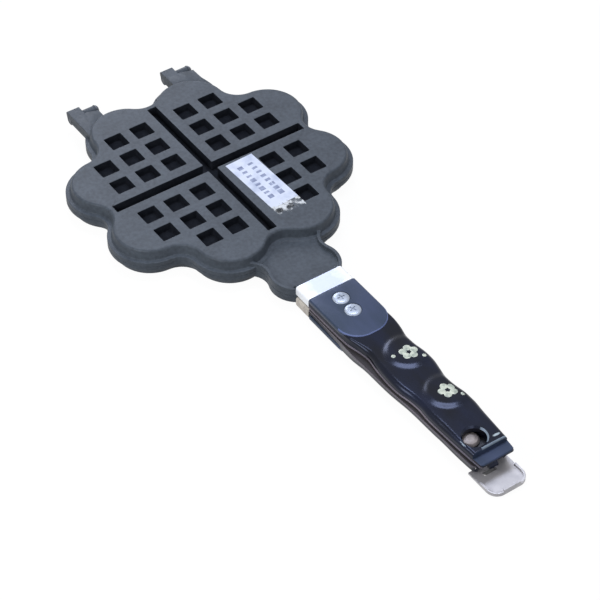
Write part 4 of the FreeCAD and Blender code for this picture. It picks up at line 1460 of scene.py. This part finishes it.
    def panel(self) -> bpy.types.Object:
        """The raised panel round the screws, with a U-shaped end and softened rim.

        Returns:
            The panel, over the mating plane.
        """
        corner, steps = self.panel_corner, self.panel_steps
        turns = [math.pi / 2 * step / steps for step in range(steps + 1)]
        outline = [(self.panel_half_width, self.shape.start)]
        for side, order in ((1, turns), (-1, turns[::-1])):
            outline += [((self.panel_half_width - corner + corner * math.cos(turn)) * side,
                         self.panel_end + corner - corner * math.sin(turn)) for turn in order]
        outline.append((-self.panel_half_width, self.shape.start))
        prism = prism_mesh([Vector((x, y, self.panel_foot)) for x, y in outline], 2, self.panel_top)
        panel = object_from(prism, f"{self.node}_panel")
        bevelled(panel, self.panel_bevel, segments=4, angle=40)
        combine(panel, "DIFFERENCE", self.screw_seats())
        return panel


# Repeats made with geometry nodes

class NodeTree(Wiring):
    """A geometry node tree with named inputs, which ends in realised instances and a material."""

    def __init__(self, name: str, inputs: dict[str, tuple[str, object]]) -> None:
        """Start a tree.

        Args:
            name: The tree's name.
            inputs: Socket kind and value of each named input.
        """
        super().__init__(bpy.data.node_groups.new(name, "GeometryNodeTree"))
        sockets = self.tree.interface
        sockets.new_socket("Geometry", in_out="OUTPUT", socket_type="NodeSocketGeometry")
        self.values = {key: value for key, (_, value) in inputs.items()}
        for key, (kind, _) in inputs.items():
            sockets.new_socket(key, in_out="INPUT", socket_type=kind)
        self.entry = self.add("NodeGroupInput")
        self.exit = self.add("NodeGroupOutput")

    def given(self, name: str) -> Socket:
        """The socket of a named input."""
        return self.entry.outputs[name]

    def fill(self, target: Socket, value: object) -> None:
        """Link a socket to another one, or set it to a constant.

        Args:
            target: The socket to fill.
            value: Another socket, or the constant.
        """
        if isinstance(value, Socket):
            self.link(value, target)
        else:
            target.default_value = value

    def step(self, kind: str, **sockets: object) -> bpy.types.Node:
        """A new node with its sockets filled.

        Args:
            kind: The node's type.
            **sockets: Sockets or constants, named with underscores for spaces.

        Returns:
            The node.
        """
        node = self.add(kind)
        for key, value in sockets.items():
            self.fill(node.inputs[key.replace("_", " ")], value)
        return node

    def vector(self, x: object, y: object, z: object) -> Socket:
        """A vector from three numbers or sockets."""
        return self.step("ShaderNodeCombineXYZ", X=x, Y=y, Z=z).outputs["Vector"]

    def math(self, operation: str, first: object, second: object) -> Socket:
        """Arithmetic on two numbers or sockets.

        Args:
            operation: The operation's name.
            first: The first number or socket.
            second: The second number or socket.

        Returns:
            The result's socket.
        """
        node = self.add("ShaderNodeMath", operation=operation)
        for target, value in zip(node.inputs, (first, second)):
            self.fill(target, value)
        return node.outputs["Value"]

    def finish(self, geometry: Socket, material: bpy.types.Material) -> None:
        """End the tree in Realize Instances and Set Material.

        Args:
            geometry: The instances.
            material: The material of all of them.
        """
        real = self.step("GeometryNodeRealizeInstances", Geometry=geometry).outputs["Geometry"]
        dressed = self.step("GeometryNodeSetMaterial", Geometry=real, Material=material)
        self.link(dressed.outputs["Geometry"], self.exit.inputs["Geometry"])

    def run(self, name: str) -> bpy.types.Object:
        """Evaluate the tree into a plain mesh object.

        Args:
            name: Name of the object.

        Returns:
            The object.
        """
        item = new_object(name, bpy.data.meshes.new(name))
        modifier = item.modifiers.new(name, "NODES")
        modifier.node_group = self.tree
        for socket in self.tree.interface.items_tree:
            if socket.in_out == "INPUT":
                modifier[socket.identifier] = self.values[socket.name]
        return baked(item)


@dataclass
class GripScrews:
    """The two pan-head screws of one grip, repeated along the grip."""

    half: Half
    body: Body
    nodes: tuple[str, str]
    material: bpy.types.Material
    front: float = -131.6 * MM
    pitch: float = 11.2 * MM
    count: int = 2
    turn: float = 24.0
    seat: float = 5.9 * MM
    head_radius: float = 5 * MM
    head_height: float = 2.4 * MM
    head_steps: int = 64
    crown_steps: int = 10
    crown_start: float = 0.45
    crown_power: float = 0.55
    shank_radius: float = 2.4 * MM
    tip: float = 1.2 * MM
    slot_arm: float = 2.2 * MM
    slot_half: float = 0.42 * MM
    slot_depth: float = 0.5 * MM

    def build(self) -> None:
        """Make both screws of the grip as one piece."""
        template = self.one_screw()
        tree = NodeTree("grip_screws", {
            "Front": ("NodeSocketFloat", self.front),
            "Pitch": ("NodeSocketFloat", self.pitch),
            "Count": ("NodeSocketInt", self.count),
            "Turn": ("NodeSocketFloat", math.radians(self.turn)),
        })
        back = tree.math("MULTIPLY", tree.given("Pitch"), -1.0)
        line = tree.step("GeometryNodeMeshLine", Count=tree.given("Count"),
                         Start_Location=tree.vector(0.0, tree.given("Front"), 0.0),
                         Offset=tree.vector(0.0, back, 0.0))
        index = tree.step("GeometryNodeInputIndex").outputs["Index"]
        turn = tree.vector(0.0, 0.0, tree.math("MULTIPLY", index, tree.given("Turn")))
        screw = tree.step("GeometryNodeObjectInfo", Object=template).outputs["Geometry"]
        placed = tree.step("GeometryNodeInstanceOnPoints", Points=line.outputs["Mesh"],
                           Instance=screw, Rotation=turn)
        tree.finish(placed.outputs["Instances"], self.material)
        item = tree.run(f"{self.body.value}_screws")
        bpy.data.objects.remove(template)
        onto_half(item, self.half)
        smooth(item, angle=40)
        settle(item, self.body, Slot.SCREW, *self.nodes)

    def one_screw(self) -> bpy.types.Object:
        """One screw at the origin: crowned head, cross slot and shank.

        Returns:
            The screw.
        """
        top = self.seat + self.head_height
        profile = [(0, self.tip), (self.shank_radius, self.tip), (self.shank_radius, self.seat),
                   (self.head_radius, self.seat)]
        for step in range(self.crown_steps):
            turn = math.pi / 2 * step / self.crown_steps
            rise = self.crown_start + (1 - self.crown_start) * math.sin(turn)
            profile.append((self.head_radius * math.cos(turn) ** self.crown_power,
                            self.seat + self.head_height * rise))
        profile.append((0, top))
        screw = object_from(lathe_mesh(profile, Vector((0, 0, 0)), self.head_steps),
                            "screw_template")
        floor = top - self.slot_depth
        arms = [(self.slot_arm, self.slot_half), (self.slot_half, self.slot_arm)]
        combine(screw, "DIFFERENCE", [box_mesh(Vector((-x, -y, floor)), Vector((x, y, top * 2)))
                                      for x, y in arms])
        return screw


@dataclass
class Blossoms:
    """Small generic blossoms and dots inlaid in the upper grip's finger pads."""

    shape: GripShape
    material: bpy.types.Material
    centres: tuple[Point, ...] = ((5.8 * MM, -186 * MM), (5.9 * MM, -220 * MM))
    turn_between: float = 0.35
    petals: int = 5
    petal_ring: float = 3.3 * MM
    petal_radius: float = 2.15 * MM
    dots: tuple[Point, ...] = ((-3.0 * MM, -184 * MM), (11.2 * MM, -192.6 * MM),
                               (11.0 * MM, -226.6 * MM))
    dot_radius: float = 1.2 * MM
    relief: float = 0.12 * MM
    dome_segments: int = 24
    dome_rings: int = 8

    def build(self) -> None:
        """Make all the blossoms as one piece that hugs the grip."""
        parts = [self.ring_of(self.petals, self.petal_ring, self.petal_radius, centre,
                              self.turn_between * number)
                 for number, centre in enumerate(self.centres)]
        parts += [self.ring_of(1, 0.0, self.dot_radius, dot, 0.0) for dot in self.dots]
        merged = bmesh.new()
        for part in parts:
            merged.from_mesh(part.data)
            bpy.data.objects.remove(part)
        for vertex in merged.verts:
            vertex.co.z += MATING_PLANE + self.shape.surface(vertex.co.x, vertex.co.y)
        item = object_from(merged, "grip_blossoms")
        item.data.materials.append(self.material)
        smooth(item, angle=60)
        settle(item, Body.UPPER, Slot.GRIP)

    def ring_of(self, count: int, ring: float, radius: float, centre: Point,
                turn: float) -> bpy.types.Object:
        """Flat domes spread evenly on a ring.

        Args:
            count: Number of domes.
            ring: Radius of the ring.
            radius: Radius of a dome.
            centre: Centre of the ring.
            turn: Turn of the ring, in radians.

        Returns:
            A plain mesh object.
        """
        tree = NodeTree("petal_ring", {
            "Count": ("NodeSocketInt", count),
            "Ring": ("NodeSocketFloat", ring),
            "Radius": ("NodeSocketFloat", radius),
            "Relief": ("NodeSocketFloat", self.relief),
        })
        index = tree.step("GeometryNodeInputIndex").outputs["Index"]
        share = tree.math("DIVIDE", tree.math("MULTIPLY", index, 2 * math.pi), tree.given("Count"))
        angle = tree.math("ADD", share, turn)
        x, y = (tree.math("ADD", tree.math("MULTIPLY", tree.math(wave, angle, 0.0),
                                           tree.given("Ring")), middle)
                for wave, middle in zip(("COSINE", "SINE"), centre))
        points = tree.step("GeometryNodePoints", Count=tree.given("Count"),
                           Position=tree.vector(x, y, 0.0))
        dome = tree.step("GeometryNodeMeshUVSphere", Segments=self.dome_segments,
                         Rings=self.dome_rings, Radius=tree.given("Radius"))
        flatness = tree.math("DIVIDE", tree.given("Relief"), tree.given("Radius"))
        flat = tree.step("GeometryNodeTransform", Geometry=dome.outputs["Mesh"],
                         Scale=tree.vector(1.0, 1.0, flatness))
        placed = tree.step("GeometryNodeInstanceOnPoints", Points=points.outputs[0],
                           Instance=flat.outputs["Geometry"])
        tree.finish(placed.outputs["Instances"], self.material)
        return tree.run("petal_ring")


# Label

@dataclass
class Label:
    """White sheet on the upper dish, sagging over recesses, with plain bars and a torn film end."""

    paper: bpy.types.Material
    bars: bpy.types.Material
    film: bpy.types.Material
    width: float = 18.6 * MM
    length: float = 46 * MM
    side_offset: float = 16.8 * MM
    back: float = -4.6 * MM
    skew: float = 1.6 * MM
    lift: float = 0.02 * MM
    thickness: float = 0.08 * MM
    sheet_grid: tuple[int, int] = (20, 48)
    grid_start: float = 15.5 * MM
    grid_pitch: float = 17.5 * MM
    recess_half: float = 5.7 * MM
    sag: float = 0.22 * MM
    sag_spread: float = 1.6
    bar_columns: int = 2
    bar_rows: int = 8
    bar_gaps: Point = (7.0 * MM, 4.3 * MM)
    bar_size: Point = (3.4 * MM, 3.3 * MM)
    bar_grid: tuple[int, int] = (4, 8)
    bar_stretch: Point = (0.45, 1.15)
    bar_seed: int = 4
    bars_middle: float = 0.48
    bar_lift: float = 0.012 * MM
    film_length: float = 11 * MM
    film_overlap: float = 1.0 * MM
    film_wall: float = 0.03 * MM
    film_grid: tuple[int, int] = (44, 28)
    film_seed: int = 7
    tear: Point = (0.55, 1.0)
    tear_shares: Point = (0.6, 0.4)
    crumple: float = 0.07 * MM
    fold_scales: Point = (420, 1100)
    fine_fold: float = 0.5
    fold_growth: float = 1.5

    def place(self, across: float, along: float) -> Vector:
        """A point of the label.

        Args:
            across: Share of the half width, from -1 to 1.
            along: Distance from the label's back edge.

        Returns:
            The point in the pan's frame, on the sagging sheet.
        """
        slant = self.skew / self.length
        side = across * self.width / 2
        x = self.side_offset + side + slant * along
        y = self.back - along + slant * side
        return Vector((x, y, OUTER_FACE + self.lift - self.dip(x, -y)))

    def dip(self, x: float, y: float) -> float:
        """How far the sheet sags over a recess.

        Args:
            x: Place across the dish.
            y: Place along the dish, towards the grip.

        Returns:
            The depth.
        """
        deep, half_pitch = 1.0, self.grid_pitch / 2
        for place in (x, y):
            offset = abs((place - self.grid_start + half_pitch) % self.grid_pitch - half_pitch)
            deep *= max(0.0, 1 - (offset / self.recess_half) ** 2)
        return self.sag * min(1.0, deep * self.sag_spread)

    def build(self) -> None:
        """Make the sheet, the film and the bars."""
        self.sheet()
        self.torn_film()
        self.printed_bars()

    def sheet(self) -> None:
        """The white sheet."""
        columns, rows = self.sheet_grid

        def spot(column: int, row: int) -> Vector:
            """A point of the sheet."""
            return self.place(2 * column / columns - 1, self.length * row / rows)

        item = thin_sheet("label_sheet_skin", columns, rows, spot, self.thickness)
        item.data.materials.append(self.paper)
        smooth(item, angle=40)
        settle(item, Body.UPPER, Slot.LABEL, "plain_label")

    def torn_film(self) -> None:
        """The crumpled clear end, torn along its far edge."""
        columns, rows = self.film_grid
        draw = random.Random(self.film_seed)
        tears = [draw.uniform(*self.tear) for _ in range(columns + 1)]
        own, beside = self.tear_shares
        coarse, fine = self.fold_scales

        def spot(column: int, row: int) -> Vector:
            """A point of the crumpled film.

            Args:
                column: Column of the grid.
                row: Row of the grid.

            Returns:
                The point.
            """
            reach = own * tears[column] + beside * tears[max(column - 1, 0)]
            along = self.length - self.film_overlap + self.film_length * reach * row / rows
            point = self.place(2 * column / columns - 1, along)
            fold = (abs(noise.noise(point * coarse))
                    + self.fine_fold * abs(noise.noise(point * fine)))
            point.z += self.crumple * min(fold * self.fold_growth, 1.0)
            return point

        item = thin_sheet("film_skin", columns, rows, spot, self.film_wall)
        item.data.materials.append(self.film)
        smooth(item, angle=60)
        settle(item, Body.UPPER, Slot.FILM, "label_film")

    def printed_bars(self) -> None:
        """Two columns of plain bars, repeated with geometry nodes and laid on the sheet."""
        tree = NodeTree("label_bars", {
            "Columns": ("NodeSocketInt", self.bar_columns),
            "Rows": ("NodeSocketInt", self.bar_rows),
            "Column Gap": ("NodeSocketFloat", self.bar_gaps[0]),
            "Row Gap": ("NodeSocketFloat", self.bar_gaps[1]),
            "Bar Width": ("NodeSocketFloat", self.bar_size[0]),
            "Bar Length": ("NodeSocketFloat", self.bar_size[1]),
            "Seed": ("NodeSocketInt", self.bar_seed),
        })
        wide, long = (tree.math("MULTIPLY", tree.given(gap),
                                tree.math("SUBTRACT", tree.given(count), 1.0))
                      for gap, count in (("Column Gap", "Columns"), ("Row Gap", "Rows")))
        grid = tree.step("GeometryNodeMeshGrid", Size_X=wide, Size_Y=long,
                         Vertices_X=tree.given("Columns"), Vertices_Y=tree.given("Rows"))
        bar = tree.step("GeometryNodeMeshGrid", Size_X=tree.given("Bar Width"),
                        Size_Y=tree.given("Bar Length"), Vertices_X=self.bar_grid[0],
                        Vertices_Y=self.bar_grid[1])
        stretch = tree.step("FunctionNodeRandomValue", Seed=tree.given("Seed"))
        stretch.inputs[2].default_value, stretch.inputs[3].default_value = self.bar_stretch
        placed = tree.step("GeometryNodeInstanceOnPoints", Points=grid.outputs["Mesh"],
                           Instance=bar.outputs["Mesh"],
                           Scale=tree.vector(1.0, stretch.outputs[1], 1.0))
        tree.finish(placed.outputs["Instances"], self.bars)
        item = tree.run("label_bars")
        middle = self.length * self.bars_middle
        for vertex in item.data.vertices:
            spot = self.place(vertex.co.x / (self.width / 2), middle - vertex.co.y)
            vertex.co = spot + Vector((0, 0, self.thickness + self.bar_lift))
        if item.data.polygons[0].normal.z < 0:
            item.data.flip_normals()
        settle(item, Body.UPPER, Slot.LABEL)


# Studio

@dataclass(frozen=True)
class Viewpoint:
    """The photograph's camera: turned about the middle of the upper dish's face."""

    azimuth: float = -34.607
    elevation: float = 44.592
    roll: float = -0.219
    distance: float = 1279.02 * MM
    lens: float = 131.436
    sensor: float = 36.0
    target: Triple = (0.0, 0.0, OUTER_FACE)
    picture: float = 600.0
    target_column: float = 209.578
    target_row: float = 165.961
    pixel_middle: float = 0.5

    def axes(self) -> Matrix:
        """The camera's right, up and back directions.

        Returns:
            The directions, as rows.
        """
        turn, rise, roll = (math.radians(value)
                            for value in (self.azimuth, self.elevation, self.roll))
        back = Vector((math.sin(turn) * math.cos(rise), -math.cos(turn) * math.cos(rise),
                       math.sin(rise)))
        right = Vector((0, 0, 1)).cross(back).normalized()
        up = back.cross(right)
        return Matrix((right * math.cos(roll) + up * math.sin(roll),
                       up * math.cos(roll) - right * math.sin(roll), back))

    def build(self) -> None:
        """Make the camera and look through it."""
        focal = self.lens / self.sensor * self.picture
        offset = Vector(((self.target_column - self.picture / 2) * self.distance / focal,
                         -(self.target_row - self.picture / 2) * self.distance / focal,
                         -self.distance))
        turn = self.axes().transposed()
        data = bpy.data.cameras.new("photo_camera")
        data.lens = self.lens
        data.sensor_width = self.sensor
        data.shift_x = -self.pixel_middle / self.picture
        data.shift_y = self.pixel_middle / self.picture
        camera = bpy.data.objects.new("photo_camera", data)
        place = Matrix.Translation(Vector(self.target) - turn @ offset)
        camera.matrix_world = place @ turn.to_4x4()
        bpy.context.scene.collection.objects.link(camera)
        bpy.context.scene.camera = camera


@dataclass(frozen=True)
class SoftBox:
    """A long studio lamp aimed at the pan."""

    name: str
    place: Triple
    size: Point
    along: Triple
    power: float
    colour: Triple
    aim: Triple = (0.0, -0.2, 0.015)

    def build(self) -> None:
        """Hang the lamp with its long side along the given direction."""
        data = bpy.data.lights.new(self.name, "AREA")
        data.shape = "RECTANGLE"
        data.size, data.size_y = self.size
        data.energy = self.power
        data.color = self.colour
        away = (Vector(self.place) - Vector(self.aim)).normalized()
        side = Vector(self.along)
        side = (side - away * side.dot(away)).normalized()
        turn = Matrix((side, away.cross(side), away)).transposed()
        lamp = bpy.data.objects.new(self.name, data)
        lamp.matrix_world = Matrix.Translation(self.place) @ turn.to_4x4()
        bpy.context.scene.collection.objects.link(lamp)


@dataclass(frozen=True)
class Studio:
    """White floor, pale world and soft lamps."""

    fill: float = 0.42
    floor_size: float = 6.0
    floor_grey: float = 0.26
    floor_light_share: float = 0.78
    floor_light: float = 1.22
    clip_shade: Triple = (0.0, -0.263, 0.0)
    clip_shade_radius: float = 6 * MM
    clip_shade_fade: float = 1.2
    lamps: tuple[SoftBox, ...] = (
        SoftBox("overhead", place=(0.18, 0.09, 0.96), size=(0.52, 0.2), along=(0.80, -0.60, 0.0),
                power=4.2, colour=(0.78, 0.84, 1.0)),
        SoftBox("back", place=(0.33, 0.91, 0.65), size=(0.6, 0.26), along=(-0.66, -0.20, 0.69),
                power=4.8, colour=(0.84, 0.88, 1.0)),
        SoftBox("front", place=(0.15, -1.3, 0.95), size=(1.4, 0.16), along=(1.0, 0.0, 0.0),
                power=2.6, colour=(0.88, 0.91, 1.0)),
        SoftBox("left_near", place=(-0.34, -0.14, 0.22), size=(0.2, 0.2), along=(0.0, 1.0, 0.0),
                power=0.8, colour=(0.96, 0.98, 1.0), aim=(-0.07, -0.02, 0.015)),
    )

    def build(self) -> None:
        """Make the floor, the world and the lamps."""
        self.floor()
        self.world()
        for lamp in self.lamps:
            lamp.build()

    def background_rays(self, tree: Wiring) -> Socket:
        """1 for rays that see the background directly, in a reflection or through glass.

        Args:
            tree: The tree that asks.

        Returns:
            The value's socket.
        """
        path = tree.add("ShaderNodeLightPath")
        total = path.outputs["Is Camera Ray"]
        for name in ("Is Glossy Ray", "Is Transmission Ray"):
            node = tree.add("ShaderNodeMath", operation="MAXIMUM")
            tree.link(total, node.inputs[0])
            tree.link(path.outputs[name], node.inputs[1])
            total = node.outputs["Value"]
        return total

    def floor(self) -> None:
        """A wide white floor that keeps a faint shadow."""
        mesh = bmesh.new()
        bmesh.ops.create_grid(mesh, x_segments=1, y_segments=1, size=self.floor_size / 2)
        item = object_from(mesh, "floor")
        material = bpy.data.materials.new("floor_white")
        material.use_nodes = True
        tree = Wiring(material.node_tree)
        matt = tree.tree.nodes["Principled BSDF"]
        matt.inputs["Base Color"].default_value = (*[self.floor_grey] * 3, 1)
        matt.inputs["Roughness"].default_value = 1.0
        matt.inputs["Specular IOR Level"].default_value = 0.0
        glow = tree.add("ShaderNodeEmission")
        glow.inputs["Strength"].default_value = self.floor_light
        share = tree.add("ShaderNodeMath", operation="MULTIPLY")
        tree.link(self.background_rays(tree), share.inputs[0])
        tree.link(self.floor_glow(tree), share.inputs[1])
        mix = tree.add("ShaderNodeMixShader")
        tree.link(share.outputs["Value"], mix.inputs["Fac"])
        tree.link(matt.outputs["BSDF"], mix.inputs[1])
        tree.link(glow.outputs["Emission"], mix.inputs[2])
        tree.link(mix.outputs["Shader"], tree.tree.nodes["Material Output"].inputs["Surface"])
        item.data.materials.append(material)

    def floor_glow(self, tree: Wiring) -> Socket:
        """Share of the floor's own light: none under the latch clip, whose slot looks into shade.

        Args:
            tree: The floor's tree.

        Returns:
            The share's socket.
        """
        place = tree.add("ShaderNodeTexCoord")
        distance = tree.add("ShaderNodeVectorMath", operation="DISTANCE")
        distance.inputs[1].default_value = self.clip_shade
        tree.link(place.outputs["Object"], distance.inputs[0])
        spread = tree.add("ShaderNodeMapRange")
        spread.inputs["From Min"].default_value = self.clip_shade_radius
        spread.inputs["From Max"].default_value = self.clip_shade_radius * self.clip_shade_fade
        spread.inputs["To Max"].default_value = self.floor_light_share
        tree.link(distance.outputs["Value"], spread.inputs["Value"])
        return spread.outputs["Result"]

    def world(self) -> None:
        """Pale light from all round, seen as white."""
        world = bpy.data.worlds.new("studio")
        world.use_nodes = True
        tree = Wiring(world.node_tree)
        shade = tree.tree.nodes["Background"]
        shade.inputs["Color"].default_value = (1, 1, 1, 1)
        strength = tree.add("ShaderNodeMapRange")
        strength.inputs["To Min"].default_value = self.fill
        strength.inputs["To Max"].default_value = 1.0
        tree.link(self.background_rays(tree), strength.inputs["Value"])
        tree.link(strength.outputs["Result"], shade.inputs["Strength"])
        bpy.context.scene.world = world


# The pan

@dataclass
class WafflePan:
    """The whole pan: castings, grips, hardware and label."""

    finishes: Finishes
    lower_reach: float = -265.3 * MM
    head_foot: float = 8.9 * MM
    head_growth: float = 1.22

    def build(self) -> None:
        """Make every piece in order."""
        look = self.finishes
        self.castings()
        self.grips()
        self.hardware()
        Label(look.paper, look.print, look.film).build()

    def castings(self) -> None:
        """The two flower castings."""
        look = self.finishes
        for node, body, half, face in (("upper_plate", Body.UPPER, Half.UPPER, OUTER_FACE),
                                       ("lower_plate", Body.LOWER, Half.LOWER, 0.0)):
            Casting(node, body, Slot.CASTING, look.casting, edge=0.4 * MM, recess=look.recess,
                    outer_face=face, half=half).build()
        LugWebs(look.casting).build()

    def grips(self) -> None:
        """The two grips with their screws and blossoms."""
        look = self.finishes
        upper = Grip(Half.UPPER, Body.UPPER, "upper_handle", look)
        upper.build()
        Blossoms(upper.shape, look.blossom).build()
        Grip(Half.LOWER, Body.LOWER, "lower_handle", look, reach=self.lower_reach).build()
        for half, body, name in ((Half.UPPER, Body.UPPER, "upper"),
                                 (Half.LOWER, Body.LOWER, "lower")):
            nodes = (f"{name}_front_screw", f"{name}_rear_screw")
            GripScrews(half, body, nodes, look.screw).build()

    def hardware(self) -> None:
        """Collars, hinge hardware and the latch, each with its edge in millimetres."""
        look = self.finishes
        rows = [
            ("upper_collar", Body.UPPER, Slot.COLLAR, look.collar, 0.25),
            ("lower_collar", Body.LOWER, Slot.COLLAR, look.dull_collar, 0.25),
            ("hinge_pin_left", Body.LOWER, Slot.PIN, look.pin, 0.2),
            ("hinge_pin_right", Body.LOWER, Slot.PIN, look.pin, 0.2),
            ("hinge_washer_left", Body.LOWER, Slot.PIN, look.pin, 0.1),
            ("hinge_washer_right", Body.LOWER, Slot.PIN, look.pin, 0.1),
            ("latch_bracket", Body.LOWER, Slot.LATCH, look.strip, 0.2),
            ("latch_rivet", Body.LOWER, Slot.LATCH, look.rivet, 0.3),
            ("rivet_washer", Body.LOWER, Slot.LATCH, look.rivet, 0.1),
            ("latch_pin", Body.LOWER, Slot.LATCH, look.latch, 0.15),
            ("latch_clip", Body.LATCH, Slot.LATCH, look.latch, 0.4),
        ]
        for node, body, slot, material, edge in rows:
            piece = Refined(node, body, slot, material, edge=edge * MM).build()
            if node == "latch_rivet":
                self.broaden(piece)

    def broaden(self, rivet: bpy.types.Object) -> None:
        """Widen the rivet's head to the size that shows in the photograph.

        Args:
            rivet: The rivet's piece.
        """
        low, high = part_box("latch_rivet")
        middle = (Vector(low) + Vector(high)) / 2
        for vertex in rivet.data.vertices:
            if vertex.co.z > self.head_foot:
                vertex.co.x = middle.x + (vertex.co.x - middle.x) * self.head_growth
                vertex.co.y = middle.y + (vertex.co.y - middle.y) * self.head_growth


def main() -> None:
    """Build the pan and its studio."""
    logging.basicConfig(level=logging.INFO, format="%(name)s %(message)s")
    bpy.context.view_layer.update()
    scene = bpy.context.scene
    scene.view_settings.view_transform = "Standard"
    WafflePan(Finishes()).build()
    Studio().build()
    Viewpoint().build()


if __name__ == "__main__":
    main()
